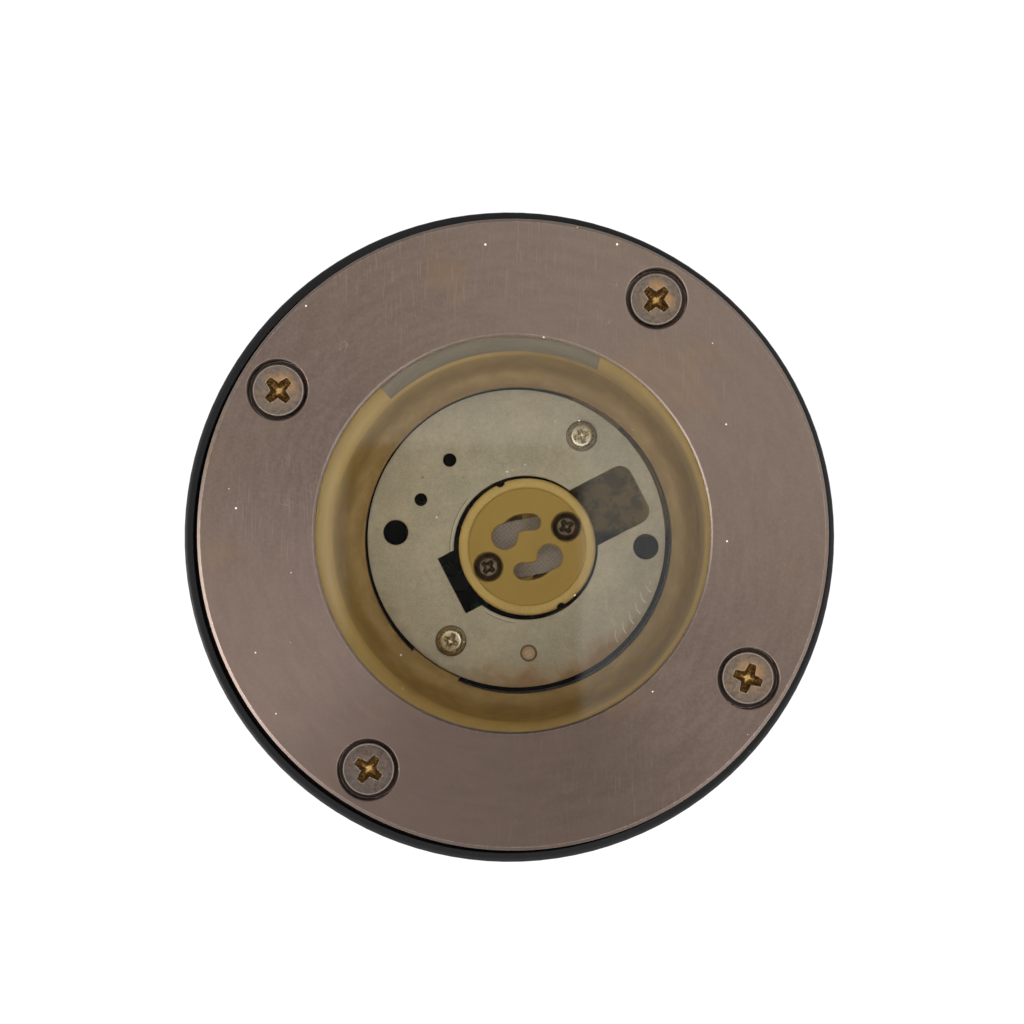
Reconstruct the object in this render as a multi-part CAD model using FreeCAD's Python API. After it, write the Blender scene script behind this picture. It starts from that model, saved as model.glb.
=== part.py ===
import FreeCAD, Part

import math
import os

from FreeCAD import Vector

# In-ground well light: a brass drop-in fixture standing in a black plastic ground sleeve.
# Millimetres, +Z up. The origin is the centre of the sleeve's foot.

# ---- Places in plan --------------------------------------------------------------------------
FIXTURE_SHIFT_X = 0.75          # the loose fixture lies a little off the sleeve's axis
FIXTURE_SHIFT_Y = 0.35
SCREW_ANGLE = 58.5              # first cover screw, in degrees from +X
SCREW_COUNT = 4
PLATE_SCREW_ANGLE = 57.5
LAMPHOLDER_X = 2.2              # from the fixture's axis
LAMPHOLDER_Y = -1.7
LAMPHOLDER_ANGLE = 27.3         # line through the lampholder's two screws, and the plate's slot

# ---- Heights, from the ground up -------------------------------------------------------------
CABLE_ROOM = 21.0               # free height under the gland nut for the cable's bend
GLAND_NUT_LENGTH = 13.7
GLAND_NUT_GAP = 0.3
GLAND_HEX_THICKNESS = 5.0
GLAND_WASHER_THICKNESS = 1.5
HUB_HEIGHT = 8.0
FLOOR_THICKNESS = 4.5
WIRING_DEPTH = 36.8
PLATE_THICKNESS = 1.2
PLATE_RECESS = 2.0              # the plate lies this far below the chamber's inner edge
CHAMBER_DEPTH = 51.65
FACE_THICKNESS = 6.35
FLANGE_THICKNESS = 6.0
COVER_GAP = 0.25                # between the sleeve's collar and the cover above it

# ---- Cover -----------------------------------------------------------------------------------
FACE_DIAMETER = 114.4
OPENING_DIAMETER = 71.8
LIP_THICKNESS = 3.0
FACE_CHAMFER = 0.6
OPENING_CHAMFER = 0.5
LENS_LAP = 3.1                  # the glass reaches this far under the lip
LENS_THICKNESS = 4.0
LENS_CHAMFER = 0.4
GASKET_FLAP = 0.65
GASKET_WALL = 1.6
GASKET_CLEARANCE = 0.3

# ---- Cover screws ----------------------------------------------------------------------------
HEAD_DIAMETER = 9.6
HEAD_HEIGHT = 3.0
HEAD_RECESS = 1.6               # head's top below the cover's face
HEAD_BEVEL = 0.35
HEAD_CLEARANCE = 0.75
COUNTERBORE_CHAMFER = 0.3
THREAD_DIAMETER = 4.82
THREAD_PITCH = 1.06
THREAD_TURNS = 10
SHANK_LENGTH = 16.4
SHANK_HOLE_CLEARANCE = 0.25
THREAD_CLEARANCE = 0.08
SEAL_WASHER_THICKNESS = 0.5
CROSS_WIDTH = 4.7
CROSS_ARM = 1.25
CROSS_DEPTH = 2.1
CROSS_TURNS = (45.0, 43.0, 55.0, 70.0)

# ---- Lamp can --------------------------------------------------------------------------------
FACE_OVERHANG = 2.6             # the cover reaches this far past the can's flange
BOSS_RADIUS = 4.6
BOSS_HEIGHT = 9.0
WEB_THICKNESS = 4.0
CHAMBER_STEP = 0.6              # the chamber is this much wider than the cover's opening
CHAMBER_WALL = 3.5
WELL_WALL = 4.1
WELL_RIM_HEIGHT = 6.0
WELL_RIM_REACH = 5.0            # past the well's outside
WELL_RIM_EDGE = 0.6
WELL_GASKET_THICKNESS = 0.5
WELL_SCREW_DIAMETER = 3.0
WELL_SCREW_EDGE = 2.5           # from the rim's outer edge
WELL_SCREW_BITE = 4.0           # into the upper casting
WELL_SCREW_HEAD_DIAMETER = 4.8
WELL_SCREW_HEAD_HEIGHT = 2.2
WELL_SCREW_CLEARANCE = 0.15
HUB_RADIUS = 14.0
CASTING_RADIUS = 2.0
FLOOR_RADIUS = 3.0
SEAL_GROOVE_DEPTH = 1.0
SEAL_GROOVE_LAND = 1.5          # flat metal to each side of the flange gasket
SEAL_HOLE_CLEARANCE = 0.4
LUG_WIDTH = 11.0
LUG_HEIGHT = 8.0
LEDGE_GAP = 0.85                # mean gap between the plate's rim and the ledge round it
LEDGE_OFFSET = 0.55             # of the ledge's bore from the plate's axis
LEDGE_OFFSET_ANGLE = -45.0
TAB_WIDTH = 10.6                # the ledge's tab beside one of the plate's screws
TAB_CLEARANCE = 0.25            # from the plate's rim
TAB_LIFT = 0.2                  # over the lug under it

# ---- Socket plate ----------------------------------------------------------------------------
PLATE_DIAMETER = 60.0
PLATE_GAP = 0.9                 # dark gap between the plate and the well's wall
PLATE_SCREW_EDGE = 5.55         # from the plate's rim
PLATE_SCREW_DIAMETER = 3.0
PLATE_SCREW_LENGTH = 7.0
PLATE_HEAD_DIAMETER = 5.2
PLATE_HEAD_HEIGHT = 1.9
PLATE_HOLE_CLEARANCE = 0.2
LOCK_WASHER_DIAMETER = 6.2
LOCK_WASHER_THICKNESS = 0.5
LOCK_WASHER_TEETH = 10
SOCKET_HOLE_DIAMETER = 29.0
SOCKET_HOLE_X = 1.9
SOCKET_HOLE_Y = -1.9
SLOT_WIDTH = 12.4
SLOT_INNER_END = -16.8          # along the slot, from the socket hole's centre
SLOT_OUTER_END = 25.8
SLOT_CORNER = 2.6
INNER_HOLES = (                 # angle, distance from the socket hole's size, diameter
    (130.4, 6.25, 2.7),
    (157.9, 6.28, 2.55),
)
PUNCHED_HOLES = (               # angle, distance from the plate's rim, diameter
    (177.2, 5.67, 5.05),
    (-3.7, 3.84, 5.1),
)

# ---- Lampholder ------------------------------------------------------------------------------
HOLDER_DIAMETER = 27.6
HOLDER_PROUD = 1.0              # ring above the plate
HOLDER_BODY_HEIGHT = 12.0
HOLDER_BASE_HEIGHT = 4.0
HOLDER_BASE_STEP = 0.8
HOLDER_EDGE = 0.5
HOLDER_FACE_DIAMETER = 23.5
HOLDER_FACE_DEPTH = 0.9
HOLDER_FRONT_WALL = 3.2
HOLDER_CAVITY_RADIUS = 8.6
HOLDER_POST_RADIUS = 3.2
PIN_CIRCLE_RADIUS = 5.0
PIN_ENTRY_DIAMETER = 5.25
PIN_SLOT_WIDTH = 3.4
PIN_ENTRY_ANGLE = 156.0
PIN_LOCK_ANGLE = 78.0
HOLDER_SCREW_RADIUS = 8.85      # from the lampholder's axis
HOLDER_SCREW_BORE = 6.4
HOLDER_SCREW_BORE_DEPTH = 2.6
HOLDER_SCREW_HEAD = 5.4
HOLDER_SCREW_HEAD_HEIGHT = 1.9
HOLDER_SCREW_DIAMETER = 3.0
HOLDER_SCREW_CLEARANCE = 0.15
RIM_NOTCH_ANGLES = (113.0, -60.5)
RIM_NOTCH_RADIUS = 1.0
PAD_THICKNESS = 0.8
PAD_HEIGHT = 3.0                # pad's underside above the base
PAD_CLEARANCE = 0.2
CONTACT_THICKNESS = 0.4
CONTACT_WIDTH = 3.2
CONTACT_LENGTH = 4.6
CONTACT_HEIGHT = 2.4
LEAD_HOLE_OFFSET = 4.0

# ---- Cradle under the lampholder -------------------------------------------------------------
CRADLE_THICKNESS = 1.2
CRADLE_GAP = 0.5                # between the lampholder and the legs
CRADLE_LEG_WIDTH = 12.0
CRADLE_FOOT = 3.4
CRADLE_SCREW_MARGIN = 3.4
CRADLE_WINDOW_RADIUS = 5.6

# ---- Earth point -----------------------------------------------------------------------------
RIVET_ANGLE = -83.9
RIVET_EDGE = 8.7                # from the socket hole's size
RIVET_FLANGE_RADIUS = 1.7
RIVET_SHANK_RADIUS = 1.3
RIVET_DIMPLE_RADIUS = 0.9
RIVET_DIMPLE_DEPTH = 0.25
RIVET_FLANGE_THICKNESS = 0.4
RIVET_CLEARANCE = 0.05
TERMINAL_RING_RADIUS = 3.1
TERMINAL_RING_THICKNESS = 0.8
TERMINAL_ANGLE = 137.0
TERMINAL_BARREL_RADIUS = 1.75
TERMINAL_BARREL_START = 3.6
TERMINAL_BARREL_LENGTH = 4.6

# ---- Terminal block and leads ----------------------------------------------------------------
BLOCK_X = -17.0
BLOCK_Y = 2.0
BLOCK_WIDTH = 13.0              # along the leads
BLOCK_HEIGHT = 11.0
BLOCK_END = 4.6                 # past the outer poles
BLOCK_EDGE = 0.8
POLE_COUNT = 3
POLE_PITCH = 8.0
POLE_BORE_RADIUS = 1.45
POLE_ENTRY_HEIGHT = 5.0
CLAMP_SCREW_RADIUS = 1.9
CLAMP_SCREW_OFFSET = 3.2
CLAMP_SCREW_SINK = 1.0
CLAMP_SCREW_CLEARANCE = 0.2
CLAMP_SLOT_WIDTH = 0.7
CLAMP_SLOT_DEPTH = 0.8
BLOCK_SCREW_RADIUS = 1.5
BLOCK_SCREW_HEAD_RADIUS = 2.7
BLOCK_SCREW_HEAD_HEIGHT = 1.8
BLOCK_SCREW_BITE = 3.5
LEAD_DIAMETER = 2.2
LEAD_CLEARANCE = 0.2
LEAD_SINK = 2.0                 # length of a lead inside the holder's base or the block
LEAD_RUN_OUT = 4.5              # straight run of a lead out of what holds it

# ---- Cable gland -----------------------------------------------------------------------------
GLAND_FLATS = 24.0
GLAND_NUT_FLATS = 24.0
GLAND_HEX_CHAMFER = 1.2
GLAND_THREAD_RADIUS = 9.0
GLAND_STUB = 1.5                # thread standing above the can's floor
GLAND_TAIL_LENGTH = 9.5
GLAND_TAIL_RADIUS = 8.6
GLAND_TAIL_CLEARANCE = 0.09
GLAND_BORE_RADIUS = 5.2
GLAND_WASHER_WIDTH = 2.6
GLAND_NUT_END = 3.0
GLAND_NUT_MOUTH_RADIUS = 5.0
CABLE_BORE_RADIUS = 4.1
CABLE_SEAL_WALL = 3.0
CABLE_SEAL_LENGTH = 10.0

# ---- Ground sleeve ---------------------------------------------------------------------------
COLLAR_CLEARANCE = 1.2          # round the can's flange
COLLAR_WALL = 3.8
COLLAR_HEIGHT = 17.4
COLLAR_EDGE = 0.8
COLLAR_LIP_WALL = 1.75          # left outside the rebate round the faceplate's edge
COLLAR_REBATE_DEPTH = 3.0
SLEEVE_STEP = 2.0               # the tube's bore is this much smaller than the collar's
SLEEVE_WALL = 2.8
FOOT_BEAD = 1.2
FOOT_BEAD_HEIGHT = 3.0
REST_RIB_THICKNESS = 3.0
REST_RIB_REACH = 2.6            # rib inside the tube's bore
REST_RIB_HEIGHT = 30.0
REST_RIB_ANGLE = 16.0           # to each side of the middle between two screws
FIN_COUNT = 12
FIN_THICKNESS = 2.0
FIN_REACH = 1.6
NOTCH_WIDTH = 26.0
NOTCH_HEIGHT = 27.0

# ---- Blank label -----------------------------------------------------------------------------
LABEL_START_ANGLE = 64.0
LABEL_END_ANGLE = 132.0
LABEL_TOP_DEPTH = 4.0           # below the flange's top
LABEL_HEIGHT = 32.0
LABEL_THICKNESS = 0.15

# ---- Derived heights -------------------------------------------------------------------------
nut_bottom = CABLE_ROOM
hex_bottom = nut_bottom + GLAND_NUT_LENGTH + GLAND_NUT_GAP
hex_top = hex_bottom + GLAND_HEX_THICKNESS
hub_bottom = hex_top + GLAND_WASHER_THICKNESS
floor_bottom = hub_bottom + HUB_HEIGHT
floor_top = floor_bottom + FLOOR_THICKNESS
plate_bottom = floor_top + WIRING_DEPTH
plate_top = plate_bottom + PLATE_THICKNESS
ledge_top = plate_top + PLATE_RECESS
rim_top = plate_bottom - WELL_GASKET_THICKNESS
rim_bottom = rim_top - WELL_RIM_HEIGHT
flange_top = ledge_top + CHAMBER_DEPTH
flange_bottom = flange_top - FLANGE_THICKNESS
face_top = flange_top + FACE_THICKNESS
lip_bottom = face_top - LIP_THICKNESS
lens_top = lip_bottom - GASKET_FLAP
lens_bottom = lens_top - LENS_THICKNESS
lens_seat = lens_bottom - GASKET_FLAP
head_top = face_top - HEAD_RECESS
head_bottom = head_top - HEAD_HEIGHT
counterbore_floor = head_bottom - SEAL_WASHER_THICKNESS
collar_top = flange_top - COVER_GAP
holder_top = plate_top + HOLDER_PROUD
holder_body_bottom = holder_top - HOLDER_BODY_HEIGHT
holder_bottom = holder_body_bottom - HOLDER_BASE_HEIGHT
holder_face = holder_top - HOLDER_FACE_DEPTH
cradle_bottom = holder_bottom - CRADLE_THICKNESS

# ---- Derived radii ---------------------------------------------------------------------------
face_radius = FACE_DIAMETER / 2
opening_radius = OPENING_DIAMETER / 2
lens_radius = opening_radius + LENS_LAP
gasket_radius = lens_radius + GASKET_WALL
lens_recess_radius = gasket_radius + GASKET_CLEARANCE
flange_radius = face_radius - FACE_OVERHANG
screw_circle = flange_radius - BOSS_RADIUS
chamber_radius = opening_radius + CHAMBER_STEP
chamber_outer = chamber_radius + CHAMBER_WALL
plate_radius = PLATE_DIAMETER / 2
socket_hole_radius = SOCKET_HOLE_DIAMETER / 2
well_radius = plate_radius + PLATE_GAP
well_outer = well_radius + WELL_WALL
rim_radius = well_outer + WELL_RIM_REACH
well_screw_circle = rim_radius - WELL_SCREW_EDGE
thread_radius = THREAD_DIAMETER / 2
collar_bore = flange_radius + COLLAR_CLEARANCE
collar_outer = collar_bore + COLLAR_WALL
collar_rebate = collar_outer - COLLAR_LIP_WALL
sleeve_bore = collar_bore - SLEEVE_STEP
sleeve_outer = sleeve_bore + SLEEVE_WALL
holder_radius = HOLDER_DIAMETER / 2
plate_screw_circle = plate_radius - PLATE_SCREW_EDGE
groove_inner = lens_recess_radius + SEAL_GROOVE_LAND
groove_outer = flange_radius - SEAL_GROOVE_LAND

PAST = 1.0                      # how far a cutting tool runs past what it cuts
SCREW_NAMES = ("upper_right", "upper_left", "lower_left", "lower_right")


# ---- Small tools -----------------------------------------------------------------------------
def cylinder(radius, bottom, top, x=0.0, y=0.0):
    return Part.makeCylinder(radius, top - bottom, Vector(x, y, bottom))


def ring(outer, inner, bottom, top, x=0.0, y=0.0):
    hole = cylinder(inner, bottom - PAST, top + PAST, x, y)
    return cylinder(outer, bottom, top, x, y).cut(hole)


def block(x0, x1, y0, y1, z0, z1):
    return Part.makeBox(x1 - x0, y1 - y0, z1 - z0, Vector(x0, y0, z0))


def turned(shape, degrees, x=0.0, y=0.0):
    copy = shape.copy()
    copy.rotate(Vector(x, y, 0), Vector(0, 0, 1), degrees)
    return copy


def moved(shape, x, y, z=0.0):
    copy = shape.copy()
    copy.translate(Vector(x, y, z))
    return copy


def fused(shapes):
    return shapes[0].multiFuse(shapes[1:]).removeSplitter()


def polar(radius, degrees):
    angle = math.radians(degrees)
    return radius * math.cos(angle), radius * math.sin(angle)


def rounded_edges(corners, closed):
    """Straight runs joined by tangent arcs. Each corner is a point and its arc's radius."""
    count = len(corners)
    stops = []
    for index, (point, radius) in enumerate(corners):
        at_end = not closed and index in (0, count - 1)
        if at_end or radius == 0:
            stops.append((point, None, point))
            continue
        back = (corners[index - 1][0] - point).normalize()
        ahead = (corners[(index + 1) % count][0] - point).normalize()
        half = back.getAngle(ahead) / 2
        along = radius / math.tan(half)
        inward = (back + ahead).normalize()
        middle = point + inward * (radius / math.sin(half) - radius)
        stops.append((point + back * along, middle, point + ahead * along))
    edges = []
    for index, (enter, middle, leave) in enumerate(stops):
        if middle is not None:
            edges.append(Part.Arc(enter, middle, leave).toShape())
        if closed or index < count - 1:
            following = stops[(index + 1) % count][0]
            if leave.distanceToPoint(following) > 1e-6:
                edges.append(Part.LineSegment(leave, following).toShape())
    return edges


def turned_solid(outline, degrees=360.0):
    """A solid of revolution. The outline's corners are (radius, height) or
    (radius, height, rounding)."""
    corners = []
    for corner in outline:
        rounding = corner[2] if len(corner) > 2 else 0
        corners.append((Vector(corner[0], 0, corner[1]), rounding))
    face = Part.Face(Part.Wire(rounded_edges(corners, True)))
    return face.revolve(Vector(0, 0, 0), Vector(0, 0, 1), degrees)


def tube_along(points, diameter, name):
    """A round lead along straight runs joined by arcs as large as the runs allow."""
    corners = [(points[0], 0)]
    radii = []
    for before, point, after in zip(points, points[1:], points[2:]):
        turn = (point - before).getAngle(after - point)
        shorter = min(point.distanceToPoint(before), after.distanceToPoint(point))
        radius = 0.45 * shorter / math.tan(turn / 2)
        radii.append(radius)
        corners.append((point, radius))
    corners.append((points[-1], 0))
    path = Part.Wire(rounded_edges(corners, False))
    along = points[1] - points[0]
    section = Part.Wire(Part.makeCircle(diameter / 2, points[0], along))
    lead = path.makePipeShell([section], True, False)
    area = math.pi * diameter ** 2 / 4
    print(name, "radii", [round(r, 1) for r in radii],
          "volume ratio", round(lead.Volume / (area * path.Length), 4))
    return lead


def hexagon(flats, bottom, top, chamfer):
    corner = flats / math.sqrt(3)
    points = [Vector(*polar(corner, 60 * index), bottom) for index in range(7)]
    prism = Part.Face(Part.makePolygon(points)).extrude(Vector(0, 0, top - bottom))
    rise = chamfer / math.sqrt(3)
    limit = turned_solid([
        (0, bottom), (corner - chamfer, bottom), (corner, bottom + rise),
        (corner, top - rise), (corner - chamfer, top), (0, top)])
    return prism.common(limit)


def cross_recess(width, arm, depth, top, degrees):
    """A cross-head driver recess to cut out of a screw's head at the origin."""
    foot = width * 0.17
    profile = [
        Vector(-width / 2, -arm / 2, top + 0.01), Vector(width / 2, -arm / 2, top + 0.01),
        Vector(foot, -arm / 2, top - depth), Vector(-foot, -arm / 2, top - depth),
        Vector(-width / 2, -arm / 2, top + 0.01)]
    wing = Part.Face(Part.makePolygon(profile)).extrude(Vector(0, arm, 0))
    core = Part.makeCone(arm * 0.95, arm * 0.4, depth * 1.15, Vector(0, 0, top + 0.01),
                         Vector(0, 0, -1))
    return turned(fused([wing, turned(wing, 90), core]), degrees)


def screw_angles():
    return [SCREW_ANGLE + 360.0 / SCREW_COUNT * index for index in range(SCREW_COUNT)]


def well_screw_places():
    between = SCREW_ANGLE + 180.0 / SCREW_COUNT
    return [polar(well_screw_circle, between + 360.0 / SCREW_COUNT * index)
            for index in range(SCREW_COUNT)]


def plate_screw_places():
    return [polar(plate_screw_circle, PLATE_SCREW_ANGLE + 180 * side) for side in range(2)]


def rivet_place():
    return polar(socket_hole_radius + RIVET_EDGE, RIVET_ANGLE)


def on_holder(shape):
    """From the lampholder's own axes, with X along its screws, to the fixture's."""
    return moved(turned(shape, LAMPHOLDER_ANGLE), LAMPHOLDER_X, LAMPHOLDER_Y)


def holder_point(x, y, z):
    radius = math.hypot(x, y)
    angle = math.degrees(math.atan2(y, x)) + LAMPHOLDER_ANGLE
    across, up = polar(radius, angle)
    return Vector(LAMPHOLDER_X + across, LAMPHOLDER_Y + up, z)


# ---- Ground sleeve ---------------------------------------------------------------------------
def ground_sleeve():
    collar_bottom = collar_top - COLLAR_HEIGHT
    step = flange_bottom - BOSS_HEIGHT - COVER_GAP
    tube = turned_solid([
        (sleeve_bore, 0), (sleeve_outer + FOOT_BEAD, 0, 0.8),
        (sleeve_outer + FOOT_BEAD, FOOT_BEAD_HEIGHT, 0.8), (sleeve_outer, FOOT_BEAD_HEIGHT),
        (sleeve_outer, collar_bottom - COLLAR_WALL + SLEEVE_WALL, 1.5),
        (collar_outer, collar_bottom + COLLAR_WALL, 1.5), (collar_outer, collar_top, COLLAR_EDGE),
        (collar_rebate, collar_top, 0.2), (collar_rebate, collar_top - COLLAR_REBATE_DEPTH),
        (collar_bore, collar_top - COLLAR_REBATE_DEPTH, 0.3), (collar_bore, step),
        (sleeve_bore, step - SLEEVE_STEP)])
    parts = [tube]
    gap = 360.0 / SCREW_COUNT
    for angle in screw_angles():
        for side in (-1, 1):
            parts.append(turned(rest_rib(), angle + gap / 2 + side * REST_RIB_ANGLE))
    for index in range(FIN_COUNT):
        parts.append(turned(outer_fin(collar_bottom), 360.0 / FIN_COUNT * (index + 0.5)))
    sleeve = fused(parts)
    arch = NOTCH_WIDTH / 2
    reach = collar_outer + PAST
    notch = block(-reach, reach, -arch, arch, -PAST, NOTCH_HEIGHT - arch)
    crown = Part.makeCylinder(arch, 2 * reach, Vector(-reach, 0, NOTCH_HEIGHT - arch),
                              Vector(1, 0, 0))
    return sleeve.cut(fused([notch, crown]))


def rest_rib():
    """One rib that carries the can's flange, standing at angle 0."""
    inner = sleeve_bore - REST_RIB_REACH
    outer = sleeve_bore + SLEEVE_WALL / 2
    bottom = flange_bottom - REST_RIB_HEIGHT
    half = REST_RIB_THICKNESS / 2
    outline = [
        Vector(outer, -half, bottom - REST_RIB_REACH), Vector(inner, -half, bottom + REST_RIB_REACH),
        Vector(inner, -half, flange_bottom), Vector(outer + SLEEVE_STEP, -half, flange_bottom),
        Vector(outer + SLEEVE_STEP, -half, flange_bottom - BOSS_HEIGHT),
        Vector(outer, -half, flange_bottom - BOSS_HEIGHT - SLEEVE_STEP)]
    outline.append(outline[0])
    return Part.Face(Part.makePolygon(outline)).extrude(Vector(0, REST_RIB_THICKNESS, 0))


def outer_fin(collar_bottom):
    half = FIN_THICKNESS / 2
    return block(sleeve_outer - SLEEVE_WALL / 2, sleeve_outer + FIN_REACH, -half, half,
                 FOOT_BEAD_HEIGHT / 2, collar_bottom)


# ---- Lamp can --------------------------------------------------------------------------------
def lamp_can():
    """The upper casting: the flange, its bosses and the chamber's wall down to the ledge."""
    fillet = chamber_radius - well_radius
    foot_top = plate_bottom + WELL_SCREW_BITE + WELL_RIM_EDGE
    shell = turned_solid([
        (plate_radius, plate_bottom), (rim_radius - WELL_RIM_EDGE, plate_bottom),
        (rim_radius, plate_bottom + WELL_RIM_EDGE), (rim_radius, foot_top),
        (chamber_outer, foot_top), (chamber_outer, flange_bottom, CASTING_RADIUS),
        (flange_radius, flange_bottom),
        (flange_radius, flange_top), (lens_recess_radius, flange_top),
        (lens_recess_radius, lens_seat), (chamber_radius, lens_seat),
        (chamber_radius, ledge_top, fillet * 0.96), (plate_radius, ledge_top)])
    can = fused([shell] + [turned(screw_boss(), angle) for angle in screw_angles()])
    bore_place = polar(LEDGE_OFFSET, LEDGE_OFFSET_ANGLE)
    tools = [ring(groove_outer, groove_inner, flange_top - SEAL_GROOVE_DEPTH, flange_top + PAST),
             cylinder(plate_radius + LEDGE_GAP, plate_bottom - PAST, ledge_top + PAST, *bore_place)]
    for angle in screw_angles():
        x, y = polar(screw_circle, angle)
        tools.append(cylinder(thread_radius + THREAD_CLEARANCE,
                              flange_bottom - BOSS_HEIGHT - PAST, flange_top + PAST, x, y))
    for x, y in well_screw_places():
        tools.append(cylinder(WELL_SCREW_DIAMETER / 2, plate_bottom - PAST,
                              plate_bottom + WELL_SCREW_BITE, x, y))
    bored = can.cut(Part.makeCompound(tools))
    return fused([bored, turned(ledge_tab(), PLATE_SCREW_ANGLE + 180)])


def ledge_tab():
    """A tab that closes the gap round the plate over one of the lugs, at angle 0."""
    half = TAB_WIDTH / 2
    bottom = plate_bottom + TAB_LIFT
    arm = block(plate_screw_circle, well_radius + WELL_WALL / 2, -half, half, bottom, ledge_top)
    return arm.cut(cylinder(plate_radius + TAB_CLEARANCE, bottom - PAST, ledge_top + PAST))


def screw_boss():
    """A tapped boss under the flange with a web to the can's wall, at angle 0."""
    bottom = flange_bottom - BOSS_HEIGHT
    boss = cylinder(BOSS_RADIUS, bottom, flange_bottom + PAST, screw_circle)
    half = WEB_THICKNESS / 2
    inside = chamber_outer - CHAMBER_WALL / 2
    outline = [
        Vector(inside, -half, bottom - BOSS_HEIGHT),
        Vector(chamber_outer, -half, bottom - BOSS_HEIGHT),
        Vector(screw_circle, -half, bottom),
        Vector(screw_circle, -half, flange_bottom + PAST),
        Vector(inside, -half, flange_bottom + PAST)]
    outline.append(outline[0])
    web = Part.Face(Part.makePolygon(outline)).extrude(Vector(0, WEB_THICKNESS, 0))
    return boss.fuse(web)


# ---- Wiring well -----------------------------------------------------------------------------
def wiring_well():
    """The lower casting: a cup with two lugs for the plate and the gland's hub under it."""
    cup = turned_solid([
        (GLAND_THREAD_RADIUS, hub_bottom), (HUB_RADIUS, hub_bottom),
        (HUB_RADIUS, floor_bottom, CASTING_RADIUS), (well_outer, floor_bottom, FLOOR_RADIUS),
        (well_outer, rim_bottom), (rim_radius, rim_bottom),
        (rim_radius, rim_top - WELL_RIM_EDGE), (rim_radius - WELL_RIM_EDGE, rim_top),
        (well_radius, rim_top), (well_radius, floor_top, FLOOR_RADIUS),
        (GLAND_THREAD_RADIUS, floor_top)])
    lugs = [turned(plate_lug(), PLATE_SCREW_ANGLE + 180 * side) for side in range(2)]
    well = fused([cup] + lugs)
    tools = []
    for x, y in plate_screw_places():
        tools.append(cylinder(PLATE_SCREW_DIAMETER / 2, plate_bottom - LUG_HEIGHT - PAST,
                              plate_bottom + PAST, x, y))
    for x, y in well_screw_places():
        tools.append(cylinder(WELL_SCREW_DIAMETER / 2 + WELL_SCREW_CLEARANCE, rim_bottom - PAST,
                              rim_top + PAST, x, y))
    tools.append(cylinder(BLOCK_SCREW_RADIUS, floor_top - BLOCK_SCREW_BITE, floor_top + PAST,
                          *block_screw_place()))
    return well.cut(Part.makeCompound(tools))


def plate_lug():
    """A lug inside the well that carries the socket plate, at angle 0."""
    half = LUG_WIDTH / 2
    bottom = plate_bottom - LUG_HEIGHT
    arm = block(plate_screw_circle, well_radius + WELL_WALL / 2, -half, half, bottom, rim_top)
    pad = cylinder(half, bottom, plate_bottom, plate_screw_circle)
    inside = cylinder(well_radius - WELL_SCREW_CLEARANCE, bottom, plate_bottom)
    return arm.fuse(pad.common(inside))


def well_gasket():
    """A flat gasket between the two castings, holed for the screws that join them."""
    gasket = ring(rim_radius - WELL_RIM_EDGE, well_radius, rim_top, plate_bottom)
    holes = [cylinder(WELL_SCREW_DIAMETER / 2 + WELL_SCREW_CLEARANCE, rim_top - PAST,
                      plate_bottom + PAST, x, y) for x, y in well_screw_places()]
    return gasket.cut(Part.makeCompound(holes))


def well_screws():
    """Four screws up through the well's rim into the upper casting."""
    tip = plate_bottom + WELL_SCREW_BITE - WELL_SCREW_CLEARANCE
    head_end = rim_bottom - WELL_SCREW_HEAD_HEIGHT
    head = turned_solid([
        (0, head_end), (WELL_SCREW_HEAD_DIAMETER / 2, head_end, 0.4),
        (WELL_SCREW_HEAD_DIAMETER / 2, rim_bottom), (0, rim_bottom)])
    shank = cylinder(WELL_SCREW_DIAMETER / 2, rim_bottom - 0.1, tip)
    key = hexagon(WELL_SCREW_HEAD_DIAMETER * 0.5, head_end - PAST,
                  head_end + WELL_SCREW_HEAD_HEIGHT * 0.6, 0.1)
    screw = fused([head, shank]).cut(key)
    return Part.makeCompound([moved(screw, x, y) for x, y in well_screw_places()])


def flange_gasket():
    """A flat full-face gasket in the flange, holed for the cover screws."""
    bottom = flange_top - SEAL_GROOVE_DEPTH
    gasket = ring(groove_outer, groove_inner, bottom, flange_top)
    holes = []
    for angle in screw_angles():
        x, y = polar(screw_circle, angle)
        holes.append(cylinder(thread_radius + SEAL_HOLE_CLEARANCE, bottom - PAST,
                              flange_top + PAST, x, y))
    return gasket.cut(Part.makeCompound(holes))


def blank_label():
    top = flange_top - LABEL_TOP_DEPTH
    strip = turned_solid([
        (chamber_radius - LABEL_THICKNESS, top - LABEL_HEIGHT),
        (chamber_radius, top - LABEL_HEIGHT), (chamber_radius, top),
        (chamber_radius - LABEL_THICKNESS, top)], LABEL_END_ANGLE - LABEL_START_ANGLE)
    return turned(strip, LABEL_START_ANGLE)


# ---- Socket plate ----------------------------------------------------------------------------
def socket_plate():
    plate = cylinder(plate_radius, plate_bottom, plate_top)
    low = plate_bottom - PAST
    high = plate_top + PAST
    tools = [cylinder(socket_hole_radius, low, high, SOCKET_HOLE_X, SOCKET_HOLE_Y),
             socket_slot(low, high)]
    for angle, edge, diameter in INNER_HOLES:
        tools.append(cylinder(diameter / 2, low, high, *polar(socket_hole_radius + edge, angle)))
    for angle, edge, diameter in PUNCHED_HOLES:
        tools.append(cylinder(diameter / 2, low, high, *polar(plate_radius - edge, angle)))
    for x, y in plate_screw_places():
        tools.append(cylinder(PLATE_SCREW_DIAMETER / 2 + PLATE_HOLE_CLEARANCE, low, high, x, y))
    tools.append(cylinder(RIVET_SHANK_RADIUS + RIVET_CLEARANCE, low, high, *rivet_place()))
    return plate.cut(fused(tools))


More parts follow.
